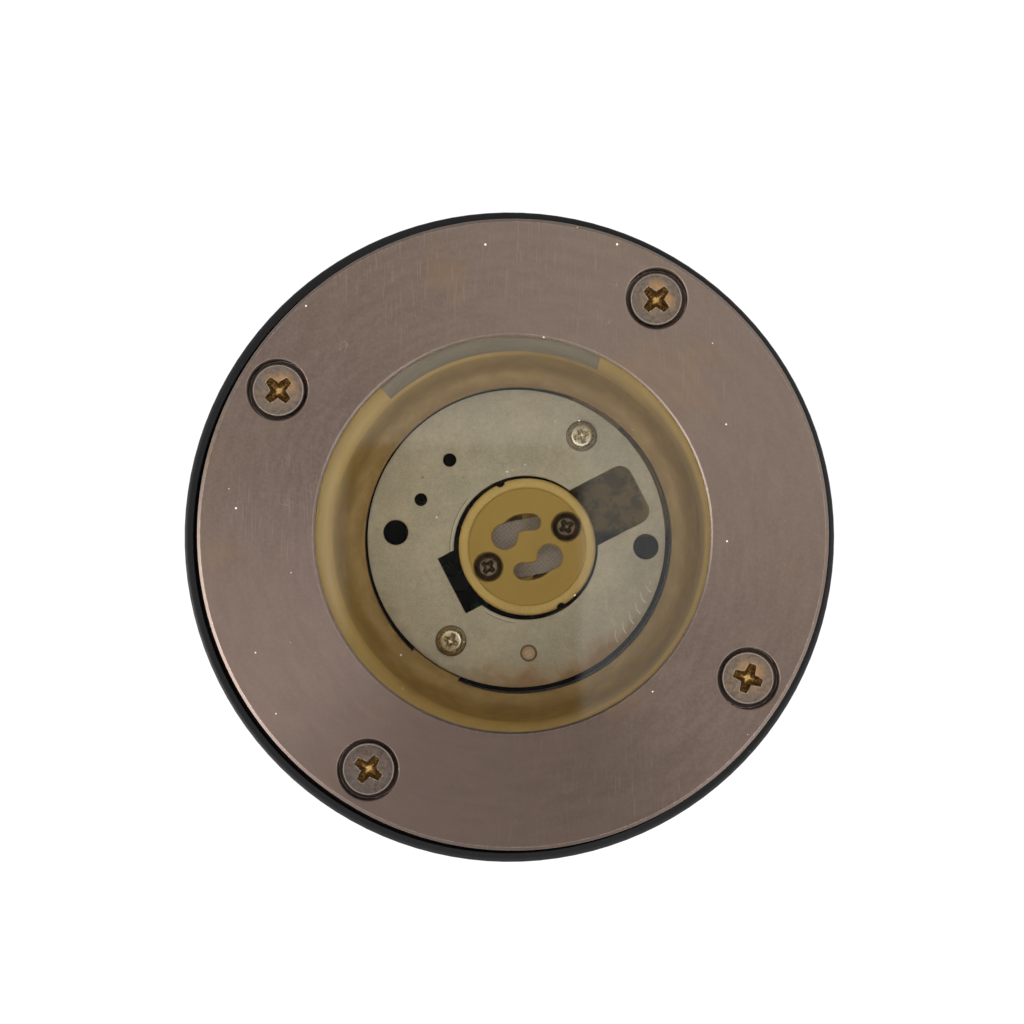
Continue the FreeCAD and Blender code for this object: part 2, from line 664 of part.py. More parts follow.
def socket_slot(low, high):
    """The long slot through the socket hole, square at one end and rounded at the other."""
    half = SLOT_WIDTH / 2
    corners = [
        (Vector(SLOT_INNER_END, -half, low), 0), (Vector(SLOT_OUTER_END, -half, low), SLOT_CORNER),
        (Vector(SLOT_OUTER_END, half, low), SLOT_CORNER), (Vector(SLOT_INNER_END, half, low), 0)]
    face = Part.Face(Part.Wire(rounded_edges(corners, True)))
    slot = face.extrude(Vector(0, 0, high - low))
    return moved(turned(slot, LAMPHOLDER_ANGLE), SOCKET_HOLE_X, SOCKET_HOLE_Y)


def plate_screws():
    under_head = plate_top + LOCK_WASHER_THICKNESS
    top = under_head + PLATE_HEAD_HEIGHT
    screws = []
    for turn, (x, y) in zip((20.0, 65.0), plate_screw_places()):
        head = turned_solid([
            (0, under_head), (PLATE_HEAD_DIAMETER / 2, under_head),
            (PLATE_HEAD_DIAMETER / 2, top, 0.9), (0, top)])
        shank = cylinder(PLATE_SCREW_DIAMETER / 2, under_head - PLATE_SCREW_LENGTH,
                         under_head + 0.1)
        recess = cross_recess(PLATE_HEAD_DIAMETER * 0.58, 0.75, PLATE_HEAD_HEIGHT * 0.7, top, turn)
        screws.append(moved(fused([head, shank]).cut(recess), x, y))
    return Part.makeCompound(screws)


def plate_lock_washers():
    top = plate_top + LOCK_WASHER_THICKNESS
    washers = []
    for x, y in plate_screw_places():
        bore = PLATE_SCREW_DIAMETER / 2 + PLATE_HOLE_CLEARANCE
        washer = ring(LOCK_WASHER_DIAMETER / 2, bore, plate_top, top)
        gap = bore * math.sin(math.pi / LOCK_WASHER_TEETH) / 2
        cuts = []
        for tooth in range(LOCK_WASHER_TEETH):
            cut_x, cut_y = polar(bore, 360.0 / LOCK_WASHER_TEETH * tooth)
            cuts.append(cylinder(gap, plate_top - PAST, top + PAST, cut_x, cut_y))
        washers.append(moved(washer.cut(Part.makeCompound(cuts)), x, y))
    return Part.makeCompound(washers)


# ---- Lampholder ------------------------------------------------------------------------------
def keyhole_slots(low, high):
    """Two slots for the lamp's pins: a round entry and a curved locking slot each."""
    half = PIN_SLOT_WIDTH / 2
    span = PIN_ENTRY_ANGLE - PIN_LOCK_ANGLE
    slots = []
    for side in range(2):
        start = PIN_LOCK_ANGLE + 180 * side - LAMPHOLDER_ANGLE
        curve = turned(turned_solid([
            (PIN_CIRCLE_RADIUS - half, low), (PIN_CIRCLE_RADIUS + half, low),
            (PIN_CIRCLE_RADIUS + half, high), (PIN_CIRCLE_RADIUS - half, high)], span), start)
        entry = cylinder(PIN_ENTRY_DIAMETER / 2, low, high, *polar(PIN_CIRCLE_RADIUS, start + span))
        lock = cylinder(half, low, high, *polar(PIN_CIRCLE_RADIUS, start))
        slots.append(fused([curve, entry, lock]))
    return slots


def holder_cavity(low, high, shrink):
    """The room inside the lampholder, less the two posts round its screws."""
    room = cylinder(HOLDER_CAVITY_RADIUS - shrink, low, high)
    posts = [cylinder(HOLDER_POST_RADIUS + shrink, low - PAST, high + PAST, side * HOLDER_SCREW_RADIUS)
             for side in (-1, 1)]
    return room.cut(Part.makeCompound(posts))


def lampholder_body():
    body = turned_solid([
        (0, holder_body_bottom), (holder_radius, holder_body_bottom),
        (holder_radius, holder_top, HOLDER_EDGE),
        (HOLDER_FACE_DIAMETER / 2, holder_top, HOLDER_EDGE),
        (HOLDER_FACE_DIAMETER / 2, holder_face), (0, holder_face)])
    inner_top = holder_face - HOLDER_FRONT_WALL
    tools = keyhole_slots(inner_top - PAST, holder_top + PAST)
    tools.append(holder_cavity(holder_body_bottom - PAST, inner_top, 0))
    for side in (-1, 1):
        x = side * HOLDER_SCREW_RADIUS
        tools.append(cylinder(HOLDER_SCREW_BORE / 2, holder_face - HOLDER_SCREW_BORE_DEPTH,
                              holder_top + PAST, x))
        tools.append(cylinder(HOLDER_SCREW_DIAMETER / 2 + HOLDER_SCREW_CLEARANCE,
                              holder_body_bottom - PAST, holder_top, x))
    for angle in RIM_NOTCH_ANGLES:
        x, y = polar(holder_radius + RIM_NOTCH_RADIUS / 3, angle - LAMPHOLDER_ANGLE)
        tools.append(cylinder(RIM_NOTCH_RADIUS, holder_body_bottom - PAST, holder_top + PAST, x, y))
    for tool in tools:
        body = body.cut(tool)
    return on_holder(body)


def lampholder_base():
    base = turned_solid([
        (0, holder_bottom), (holder_radius - HOLDER_BASE_STEP, holder_bottom, HOLDER_EDGE),
        (holder_radius - HOLDER_BASE_STEP, holder_body_bottom), (0, holder_body_bottom)])
    low = holder_bottom - PAST
    high = holder_body_bottom + PAST
    tools = []
    for side in (-1, 1):
        tools.append(cylinder(HOLDER_SCREW_DIAMETER / 2 + HOLDER_SCREW_CLEARANCE, low, high,
                              side * HOLDER_SCREW_RADIUS))
        tools.append(cylinder(LEAD_DIAMETER / 2 + LEAD_CLEARANCE, low, high, 0,
                              side * LEAD_HOLE_OFFSET))
    return on_holder(base.cut(Part.makeCompound(tools)))


def insulating_pad():
    bottom = holder_body_bottom + PAD_HEIGHT
    return on_holder(holder_cavity(bottom, bottom + PAD_THICKNESS, PAD_CLEARANCE))


def lampholder_contacts():
    """Two bent brass strips, one under each locking end."""
    half = CONTACT_WIDTH / 2
    low = holder_body_bottom
    top = low + CONTACT_HEIGHT
    thick = CONTACT_THICKNESS
    start = -CONTACT_LENGTH / 2
    end = CONTACT_LENGTH / 2
    strip = fused([
        block(start, end, -half, half, low, low + thick),
        block(end - thick, end, -half, half, low, top),
        block(start + thick, end, -half, half, top - thick, top)])
    contacts = []
    for side in range(2):
        x, y = polar(PIN_CIRCLE_RADIUS, PIN_LOCK_ANGLE + 180 * side - LAMPHOLDER_ANGLE)
        facing = turned(strip, PIN_LOCK_ANGLE + 180 * side - LAMPHOLDER_ANGLE + 90)
        contacts.append(moved(facing, x, y))
    return on_holder(Part.makeCompound(contacts))


def lampholder_screws():
    under_head = holder_face - HOLDER_SCREW_BORE_DEPTH
    top = under_head + HOLDER_SCREW_HEAD_HEIGHT
    screws = []
    for side, turn in ((-1, 30.0), (1, 5.0)):
        head = turned_solid([
            (0, under_head), (HOLDER_SCREW_HEAD / 2, under_head),
            (HOLDER_SCREW_HEAD / 2, top, 0.7), (0, top)])
        shank = cylinder(HOLDER_SCREW_DIAMETER / 2, cradle_bottom - 1.0, under_head + 0.1)
        recess = cross_recess(HOLDER_SCREW_HEAD * 0.56, 0.75, HOLDER_SCREW_HEAD_HEIGHT * 0.7, top,
                              turn)
        screws.append(moved(fused([head, shank]).cut(recess), side * HOLDER_SCREW_RADIUS, 0))
    return on_holder(Part.makeCompound(screws))


def lampholder_cradle():
    """A folded strap under the lampholder whose two feet are welded under the plate."""
    leg_inner = holder_radius + CRADLE_GAP
    leg_outer = leg_inner + CRADLE_THICKNESS
    half_leg = CRADLE_LEG_WIDTH / 2
    reach = HOLDER_SCREW_RADIUS + CRADLE_SCREW_MARGIN
    parts = [
        block(-reach, reach, -leg_inner / 2, leg_inner / 2, cradle_bottom, holder_bottom),
        block(-half_leg, half_leg, -leg_outer, leg_outer, cradle_bottom, holder_bottom)]
    for side in (0, 180):
        leg = block(-half_leg, half_leg, leg_inner, leg_outer, cradle_bottom, plate_bottom)
        foot = block(-half_leg, half_leg, leg_inner, leg_outer + CRADLE_FOOT,
                     plate_bottom - CRADLE_THICKNESS, plate_bottom)
        parts += [turned(leg, side), turned(foot, side)]
    cradle = fused(parts)
    low = cradle_bottom - PAST
    high = holder_bottom + PAST
    tools = [cylinder(CRADLE_WINDOW_RADIUS, low, high)]
    for side in (-1, 1):
        tools.append(cylinder(HOLDER_SCREW_DIAMETER / 2, low, high, side * HOLDER_SCREW_RADIUS))
    return on_holder(cradle.cut(Part.makeCompound(tools)))


# ---- Earth point -----------------------------------------------------------------------------
def ground_rivet():
    terminal_bottom = plate_bottom - TERMINAL_RING_THICKNESS
    head = plate_top + RIVET_FLANGE_THICKNESS
    rivet = turned_solid([
        (0, terminal_bottom - RIVET_FLANGE_THICKNESS),
        (RIVET_FLANGE_RADIUS, terminal_bottom - RIVET_FLANGE_THICKNESS),
        (RIVET_FLANGE_RADIUS, terminal_bottom), (RIVET_SHANK_RADIUS, terminal_bottom),
        (RIVET_SHANK_RADIUS, plate_top), (RIVET_FLANGE_RADIUS, plate_top),
        (RIVET_FLANGE_RADIUS, head, 0.2), (RIVET_DIMPLE_RADIUS, head, 0.2),
        (RIVET_DIMPLE_RADIUS, head - RIVET_DIMPLE_DEPTH), (0, head - RIVET_DIMPLE_DEPTH)])
    return moved(rivet, *rivet_place())


def barrel_height():
    return plate_bottom - TERMINAL_BARREL_RADIUS - LEAD_CLEARANCE


def ground_terminal():
    """A ring terminal under the rivet with a crimped barrel for the earth lead."""
    bottom = plate_bottom - TERMINAL_RING_THICKNESS
    eye = cylinder(TERMINAL_RING_RADIUS, bottom, plate_bottom)
    end = TERMINAL_BARREL_START + TERMINAL_BARREL_LENGTH
    neck = block(0, TERMINAL_BARREL_START + 1.0, -1.2, 1.2, bottom, plate_bottom - LEAD_CLEARANCE)
    barrel = Part.makeCylinder(TERMINAL_BARREL_RADIUS, TERMINAL_BARREL_LENGTH,
                               Vector(TERMINAL_BARREL_START, 0, barrel_height()), Vector(1, 0, 0))
    terminal = fused([eye, neck, barrel])
    hole = cylinder(RIVET_SHANK_RADIUS + RIVET_CLEARANCE, bottom - PAST, plate_bottom + PAST)
    socket = Part.makeCylinder(LEAD_DIAMETER / 2, LEAD_SINK + PAST,
                               Vector(end - LEAD_SINK, 0, barrel_height()), Vector(1, 0, 0))
    terminal = terminal.cut(Part.makeCompound([hole, socket]))
    return moved(turned(terminal, TERMINAL_ANGLE), *rivet_place())


# ---- Terminal block and leads ----------------------------------------------------------------
def pole_places():
    middle = (POLE_COUNT - 1) / 2
    return [BLOCK_Y + POLE_PITCH * (middle - index) for index in range(POLE_COUNT)]


def block_screw_place():
    return BLOCK_X, pole_places()[0] - POLE_PITCH / 2


def terminal_block():
    half = BLOCK_WIDTH / 2
    top = floor_top + BLOCK_HEIGHT
    places = pole_places()
    body = block(BLOCK_X - half, BLOCK_X + half, places[-1] - BLOCK_END, places[0] + BLOCK_END,
                 floor_top, top)
    upright = [edge for edge in body.Edges if abs(edge.tangentAt(0).z) > 0.9]
    body = body.makeFillet(BLOCK_EDGE, upright)
    tools = []
    for y in places:
        tools.append(Part.makeCylinder(POLE_BORE_RADIUS, BLOCK_WIDTH + 2 * PAST,
                                       Vector(BLOCK_X - half - PAST, y,
                                              floor_top + POLE_ENTRY_HEIGHT), Vector(1, 0, 0)))
        for side in (-1, 1):
            tools.append(cylinder(CLAMP_SCREW_RADIUS + CLAMP_SCREW_CLEARANCE,
                                  floor_top + POLE_ENTRY_HEIGHT, top + PAST,
                                  BLOCK_X + side * CLAMP_SCREW_OFFSET, y))
    x, y = block_screw_place()
    tools.append(cylinder(BLOCK_SCREW_RADIUS + CLAMP_SCREW_CLEARANCE, floor_top - PAST, top, x, y))
    tools.append(cylinder(BLOCK_SCREW_HEAD_RADIUS + CLAMP_SCREW_CLEARANCE,
                          top - BLOCK_SCREW_HEAD_HEIGHT, top + PAST, x, y))
    for tool in tools:
        body = body.cut(tool)
    return body


def slotted_head(radius, top, x, y, degrees):
    slot = block(-radius - PAST, radius + PAST, -CLAMP_SLOT_WIDTH / 2, CLAMP_SLOT_WIDTH / 2,
                 top - CLAMP_SLOT_DEPTH, top + PAST)
    return moved(turned(slot, degrees), x, y)


def terminal_clamp_screws():
    top = floor_top + BLOCK_HEIGHT - CLAMP_SCREW_SINK
    bottom = floor_top + POLE_ENTRY_HEIGHT + LEAD_DIAMETER / 2 + LEAD_CLEARANCE
    screws = []
    for index, y in enumerate(pole_places()):
        for side in (-1, 1):
            x = BLOCK_X + side * CLAMP_SCREW_OFFSET
            screw = cylinder(CLAMP_SCREW_RADIUS, bottom, top, x, y)
            turn = 37.0 * index + 61.0 * side
            screws.append(screw.cut(slotted_head(CLAMP_SCREW_RADIUS, top, x, y, turn)))
    return Part.makeCompound(screws)


def terminal_block_screw():
    x, y = block_screw_place()
    top = floor_top + BLOCK_HEIGHT
    under_head = top - BLOCK_SCREW_HEAD_HEIGHT
    head = cylinder(BLOCK_SCREW_HEAD_RADIUS, under_head, top, x, y)
    shank = cylinder(BLOCK_SCREW_RADIUS, floor_top - BLOCK_SCREW_BITE, under_head + 0.1, x, y)
    return fused([head, shank]).cut(slotted_head(BLOCK_SCREW_HEAD_RADIUS, top, x, y, 25.0))


def pole_entry(index, inside):
    x = BLOCK_X + BLOCK_WIDTH / 2 - inside
    return Vector(x, pole_places()[index], floor_top + POLE_ENTRY_HEIGHT)


def holder_lead(side, pole, middle, name):
    """From a hole in the lampholder's base, down through the cradle, to one pole."""
    start = holder_point(0, side * LEAD_HOLE_OFFSET, holder_bottom + LEAD_SINK)
    below = Vector(start.x, start.y, cradle_bottom - LEAD_RUN_OUT)
    points = [start, below, middle, pole_entry(pole, -3.5), pole_entry(pole, LEAD_SINK)]
    return tube_along(points, LEAD_DIAMETER, name)


def lead_live():
    return holder_lead(1, 0, Vector(-0.8, 4.6, floor_top + 9.5), "lead_live")


def lead_neutral():
    return holder_lead(-1, 1, Vector(1.2, -3.2, floor_top + 9.0), "lead_neutral")


def lead_ground():
    rivet = Vector(*rivet_place(), barrel_height())
    reach = TERMINAL_BARREL_START + TERMINAL_BARREL_LENGTH
    start = rivet + Vector(*polar(reach - LEAD_SINK, TERMINAL_ANGLE), 0)
    outside = rivet + Vector(*polar(reach + LEAD_RUN_OUT, TERMINAL_ANGLE), 0)
    points = [start, outside, Vector(-8.6, -14.2, plate_bottom - 8.8),
              Vector(-7.6, -13.6, plate_bottom - 16.3), Vector(-2.8, -8.0, floor_top + 14.0),
              Vector(-2.0, -6.2, floor_top + 5.3), pole_entry(2, LEAD_SINK)]
    return tube_along(points, LEAD_DIAMETER, "lead_ground")


# ---- Cable gland -----------------------------------------------------------------------------
def gland_body():
    hexagonal = hexagon(GLAND_FLATS, hex_bottom, hex_top, GLAND_HEX_CHAMFER)
    tail_bottom = hex_bottom - GLAND_TAIL_LENGTH
    neck = cylinder(GLAND_THREAD_RADIUS, hex_top - PAST, floor_top + GLAND_STUB)
    tail = cylinder(GLAND_TAIL_RADIUS, tail_bottom, hex_bottom + PAST)
    body = fused([hexagonal, neck, tail])
    seal_radius = CABLE_BORE_RADIUS + CABLE_SEAL_WALL
    bore = cylinder(GLAND_BORE_RADIUS, tail_bottom - PAST, floor_top + GLAND_STUB + PAST)
    pocket = cylinder(seal_radius, tail_bottom - PAST, seal_bottom() + CABLE_SEAL_LENGTH)
    return body.cut(fused([bore, pocket]))


def seal_bottom():
    return nut_bottom + GLAND_NUT_END


def gland_washer():
    return ring(GLAND_THREAD_RADIUS + GLAND_WASHER_WIDTH, GLAND_THREAD_RADIUS, hex_top, hub_bottom)


def gland_seal():
    return ring(CABLE_BORE_RADIUS + CABLE_SEAL_WALL, CABLE_BORE_RADIUS, seal_bottom(),
                seal_bottom() + CABLE_SEAL_LENGTH)


def gland_nut():
    nut = hexagon(GLAND_NUT_FLATS, nut_bottom, hex_bottom - GLAND_NUT_GAP, GLAND_HEX_CHAMFER)
    thread = cylinder(GLAND_TAIL_RADIUS + GLAND_TAIL_CLEARANCE, seal_bottom(), hex_bottom)
    mouth = cylinder(GLAND_NUT_MOUTH_RADIUS, nut_bottom - PAST, hex_bottom)
    return nut.cut(fused([thread, mouth]))


# ---- Cover -----------------------------------------------------------------------------------
def faceplate():
    plate = turned_solid([
        (lens_recess_radius, flange_top), (face_radius, flange_top, 0.3),
        (face_radius, face_top - FACE_CHAMFER), (face_radius - FACE_CHAMFER, face_top),
        (opening_radius + OPENING_CHAMFER, face_top), (opening_radius, face_top - OPENING_CHAMFER),
        (opening_radius, lip_bottom), (lens_recess_radius, lip_bottom)])
    bore = HEAD_DIAMETER / 2 + HEAD_CLEARANCE
    tools = []
    for angle in screw_angles():
        x, y = polar(screw_circle, angle)
        tools.append(moved(turned_solid([
            (0, flange_top - PAST), (thread_radius + SHANK_HOLE_CLEARANCE, flange_top - PAST),
            (thread_radius + SHANK_HOLE_CLEARANCE, counterbore_floor), (bore, counterbore_floor),
            (bore, face_top - COUNTERBORE_CHAMFER), (bore + COUNTERBORE_CHAMFER, face_top),
            (bore + COUNTERBORE_CHAMFER, face_top + PAST), (0, face_top + PAST)]), x, y))
    return plate.cut(Part.makeCompound(tools))


def lens():
    return turned_solid([
        (0, lens_bottom), (lens_radius - LENS_CHAMFER, lens_bottom),
        (lens_radius, lens_bottom + LENS_CHAMFER), (lens_radius, lens_top - LENS_CHAMFER),
        (lens_radius - LENS_CHAMFER, lens_top), (0, lens_top)])


def lens_gasket():
    """A channel-shaped silicone ring that wraps the edge of the glass."""
    flap_inner = opening_radius + LENS_LAP / 4
    return turned_solid([
        (flap_inner, lens_seat), (gasket_radius, lens_seat), (gasket_radius, lip_bottom),
        (flap_inner, lip_bottom), (flap_inner, lens_top), (lens_radius - LENS_CHAMFER, lens_top),
        (lens_radius, lens_top - LENS_CHAMFER), (lens_radius, lens_bottom + LENS_CHAMFER),
        (lens_radius - LENS_CHAMFER, lens_bottom), (flap_inner, lens_bottom)])


def screw_seal_washers():
    washers = []
    for angle in screw_angles():
        x, y = polar(screw_circle, angle)
        washers.append(ring(HEAD_DIAMETER / 2, thread_radius + SHANK_HOLE_CLEARANCE,
                            counterbore_floor, head_bottom, x, y))
    return Part.makeCompound(washers)


def cover_screw(index):
    """A cross-head machine screw whose thread is a row of rings of the real pitch."""
    head_radius = HEAD_DIAMETER / 2
    tip = head_bottom - SHANK_LENGTH
    root = thread_radius - THREAD_PITCH * 0.55
    outline = [(0, head_top), (head_radius - HEAD_BEVEL, head_top),
               (head_radius, head_top - HEAD_BEVEL), (head_radius, head_bottom),
               (thread_radius, head_bottom)]
    start = tip + 0.6 + THREAD_PITCH * THREAD_TURNS
    for turn in range(THREAD_TURNS):
        crest = start - THREAD_PITCH * turn
        outline.append((thread_radius, crest))
        outline.append((root, crest - THREAD_PITCH / 2))
    outline += [(thread_radius, start - THREAD_PITCH * THREAD_TURNS), (root, tip), (0, tip)]
    screw = turned_solid(outline)
    recess = cross_recess(CROSS_WIDTH, CROSS_ARM, CROSS_DEPTH, head_top, CROSS_TURNS[index])
    return moved(screw.cut(recess), *polar(screw_circle, screw_angles()[index]))


# ---- Write the nodes -------------------------------------------------------------------------
FIXTURE_PIECES = (
    lamp_can, wiring_well, well_gasket, well_screws, flange_gasket, blank_label, socket_plate,
    plate_screws, plate_lock_washers, lampholder_body, lampholder_base, insulating_pad,
    lampholder_contacts, lampholder_screws, lampholder_cradle, ground_rivet, ground_terminal,
    terminal_block, terminal_clamp_screws, terminal_block_screw, lead_live, lead_neutral,
    lead_ground, gland_body, gland_washer, gland_seal, gland_nut, faceplate, lens, lens_gasket,
    screw_seal_washers)


def main():
    nodes = {"ground_sleeve": ground_sleeve()}
    for make in FIXTURE_PIECES:
        nodes[make.__name__] = moved(make(), FIXTURE_SHIFT_X, FIXTURE_SHIFT_Y)
    for index, name in enumerate(SCREW_NAMES):
        nodes["cover_screw_" + name] = moved(cover_screw(index), FIXTURE_SHIFT_X, FIXTURE_SHIFT_Y)
    os.makedirs("parts", exist_ok=True)
    for name, shape in nodes.items():
        if not shape.isValid():
            print("not valid:", name)
        shape.exportStep("parts/" + name + ".step")


main()
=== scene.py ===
import math

import bmesh
import bpy
from mathutils import Matrix, Vector


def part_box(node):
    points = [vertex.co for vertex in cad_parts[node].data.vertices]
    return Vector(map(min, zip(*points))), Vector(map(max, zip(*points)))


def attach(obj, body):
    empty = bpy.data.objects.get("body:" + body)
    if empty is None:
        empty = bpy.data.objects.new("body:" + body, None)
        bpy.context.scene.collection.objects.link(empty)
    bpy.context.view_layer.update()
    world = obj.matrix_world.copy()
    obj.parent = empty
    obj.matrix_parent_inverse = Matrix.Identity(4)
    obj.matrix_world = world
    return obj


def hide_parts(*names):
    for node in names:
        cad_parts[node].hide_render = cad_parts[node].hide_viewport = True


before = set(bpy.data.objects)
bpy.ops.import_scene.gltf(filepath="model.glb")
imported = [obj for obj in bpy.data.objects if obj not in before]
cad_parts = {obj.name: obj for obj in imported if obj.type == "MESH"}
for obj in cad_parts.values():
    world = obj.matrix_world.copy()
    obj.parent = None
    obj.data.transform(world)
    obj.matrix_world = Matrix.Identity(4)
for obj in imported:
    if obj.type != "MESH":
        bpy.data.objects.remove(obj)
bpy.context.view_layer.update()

# In-ground well light, dressed for its looks. Sizes are millimetres until a mesh is made.
MM = 0.001


# ---- Places read from the frame ----
def low(node):
    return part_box(node)[0] / MM


def high(node):
    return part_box(node)[1] / MM


def half_width(node):
    return (high(node).x - low(node).x) / 2


def axis_of(node):
    """The upright axis through a round node, as a place on the ground."""
    centre = (low(node) + high(node)) / 2
    return Vector((centre.x, centre.y, 0))


FIXTURE_AXIS = axis_of("faceplate")
PLATE_AXIS = axis_of("socket_plate")
HOLDER_AXIS = axis_of("lampholder_base")

face_top = high("faceplate").z
cover_bottom = low("faceplate").z
face_radius = half_width("faceplate")
glass_top = high("lens").z
glass_bottom = low("lens").z
glass_radius = half_width("lens")
plate_top = high("socket_plate").z
plate_bottom = low("socket_plate").z
plate_radius = half_width("socket_plate")
holder_top = high("lampholder_body").z
holder_seat = low("lampholder_body").z
pad_top = high("insulating_pad").z
pad_bottom = low("insulating_pad").z

# ---- Sizes that the boxes don't give ----
FACE_CHAMFER = 0.6
FACE_EDGE = 0.12                # small rounding on each machined edge
COVER_FOOT_EDGE = 0.25
OPENING_RADIUS = 35.9
OPENING_CHAMFER = 0.35
LIP_THICKNESS = 3.0
LENS_RECESS_RADIUS = 40.9
LENS_RECESS_EDGE = 0.2
COUNTERBORE_RADIUS = 5.55
COUNTERBORE_MOUTH = 0.3
COUNTERBORE_FLOOR = 146.9
SHANK_HOLE_RADIUS = 2.66
GLASS_CHAMFER = 0.4

SCREW_HEAD_RADIUS = 4.8
SCREW_HEAD_HEIGHT = 3.0
SCREW_HEAD_EDGE = 0.35
SCREW_CREST_RADIUS = 2.41
SCREW_ROOT_RADIUS = 1.83
SCREW_PITCH = 1.06
CROSS_REACH = 2.65
COVER_SCREWS = {                # turn, share of bare brass, two tones, place in the noise
    "upper_right": (45.0, 0.85, (84, 74, 66), (112, 97, 85), 30),
    "upper_left": (43.0, 0.85, (84, 74, 66), (112, 97, 85), 0),
    "lower_left": (55.0, 0.08, (66, 55, 50), (90, 76, 68), 55),
    "lower_right": (70.0, 0.65, (88, 76, 66), (116, 98, 84), 80)}

SOCKET_HOLE = Vector((1.9, -1.9))
SOCKET_HOLE_RADIUS = 14.5
SLOT_ANGLE = 27.3
SLOT_HALF_WIDTH = 6.2
SLOT_INNER_END = -16.8
SLOT_OUTER_END = 25.8
SLOT_CORNER = 2.6
PUNCHED_HOLES = (               # angle, distance from the plate's axis, radius
    (130.4, 20.75, 1.35),
    (157.9, 20.78, 1.275),
    (177.2, 24.33, 2.525),
    (-3.7, 26.16, 2.55),
)
PLATE_SCREW_ANGLE = 57.5
PLATE_SCREW_CIRCLE = 24.45
PLATE_SCREW_HOLE_RADIUS = 1.7
RIVET_ANGLE = -83.9
RIVET_CIRCLE = 23.2
RIVET_HOLE_RADIUS = 1.35
SHEARED_EDGE = 0.14
MARKS_PER_TURN = 75

SMALL_HEAD_HEIGHT = 1.9
SMALL_SHANK_RADIUS = 1.5
SHANK_OVERLAP = 0.3             # how far a shank runs into its head
PAN_HEAD_RADIUS = 2.6
HOLDER_HEAD_RADIUS = 2.7
HOLDER_HEAD_CROWN = 1.75
WASHER_INNER = 1.72
WASHER_OUTER = 3.1
WASHER_TEETH = 10
WASHER_TWIST = 5                # degrees, half of what each tooth turns through

HOLDER_RADIUS = 13.8
HOLDER_EDGE = 0.75
HOLDER_FACE_RADIUS = 11.75
HOLDER_FACE_DEPTH = 0.9
HOLDER_FRONT_WALL = 3.2
HOLDER_CAVITY_RADIUS = 8.6
HOLDER_POST_RADIUS = 3.2
HOLDER_SCREW_CIRCLE = 8.85
HOLDER_SCREW_BORE = 3.0
HOLDER_SCREW_BORE_DEPTH = 2.6
HOLDER_SCREW_HOLE_RADIUS = 1.65
MOULDED_MOUTH = 0.3
PIN_CIRCLE = 5.0
PIN_SLOT_HALF = 1.7
PIN_ENTRY_RADIUS = 2.625
PIN_ENTRY_ANGLE = 156.0
PIN_LOCK_ANGLE = 78.0
RIM_NOTCH_ANGLES = (113.0, -60.5)
RIM_NOTCH_RADIUS = 1.0
RIM_NOTCH_CIRCLE = HOLDER_RADIUS + 0.33
RIM_NOTCH_MOUTH = 0.4

PAD_TRIM_HALF = 5.8
PAD_TRIM_ANGLE = 101.0
PAD_CLEARANCE = 0.2
PAD_POST_CLEARANCE = 0.3
WEAVE_PITCH = 0.5
WEAVE_LIFT = 0.05

RING_STEPS = 288
SMALL_STEPS = 96
SHARP_ANGLE = 32
PAST = 1.0                      # how far a cutting shape runs past what it cuts
SIDES = (0, 180)


# ---- Outlines ----
def turned_point(radius, degrees):
    angle = math.radians(degrees)
    return Vector((radius * math.cos(angle), radius * math.sin(angle)))


def arc(radius, start, end, steps, centre=(0, 0)):
    """Points along an arc, with both its ends."""
    return [Vector(centre) + turned_point(radius, start + (end - start) * step / steps)
            for step in range(steps + 1)]


def circle(radius, steps=SMALL_STEPS, centre=(0, 0)):
    return arc(radius, 0, 360, steps, centre)[:-1]


def corner_arc(before, corner, after, radius, facets):
    """The points of the arc that rounds one corner."""
    if radius == 0:
        return [corner]
    back = (before - corner).normalized()
    ahead = (after - corner).normalized()
    half = back.angle(ahead) / 2
    centre = corner + (back + ahead).normalized() * (radius / math.sin(half))
    first = corner + back * (radius / math.tan(half)) - centre
    last = corner + ahead * (radius / math.tan(half)) - centre
    sweep = math.atan2(first.x * last.y - first.y * last.x, first.dot(last))
    return [centre + Matrix.Rotation(sweep * step / facets, 2) @ first
            for step in range(facets + 1)]


def outline(corners, facets, closed=True):
    """Straight runs joined by arcs. A corner is (x, y) or (x, y, rounding)."""
    points = [Vector(corner[:2]) for corner in corners]
    made = []
    for index, corner in enumerate(corners):
        radius = corner[2] if len(corner) > 2 else 0
        if not closed and index in (0, len(corners) - 1):
            radius = 0
        after = points[(index + 1) % len(points)]
        made += corner_arc(points[index - 1], points[index], after, radius, facets)
    return made


def grown(points, offset):
    """A counter-clockwise outline moved outwards by an offset."""
    made = []
    for index, point in enumerate(points):
        into = (point - points[index - 1]).normalized()
        out = (points[(index + 1) % len(points)] - point).normalized()
        side_in = Vector((into.y, -into.x))
        side_out = Vector((out.y, -out.x))
        made.append(point + (side_in + side_out) * (offset / (1 + side_in.dot(side_out))))
    return made


def spun(points, degrees, centre=(0, 0)):
    """An outline turned about the origin, then moved."""
    turn = Matrix.Rotation(math.radians(degrees), 2)
    return [turn @ point + Vector(centre) for point in points]


# ---- Meshes ----
def make_piece(name, points, faces, place):
    """A shape from points in millimetres round an axis on the ground."""
    mesh = bpy.data.meshes.new(name)
    mesh.from_pydata([Vector(point) * MM for point in points], [], faces)
    mesh.validate()
    shell = bmesh.new()
    shell.from_mesh(mesh)
    bmesh.ops.recalc_face_normals(shell, faces=shell.faces)
    shell.to_mesh(mesh)
    shell.free()
    piece = bpy.data.objects.new(name, mesh)
    piece.location = place * MM
    bpy.context.scene.collection.objects.link(piece)
    return piece


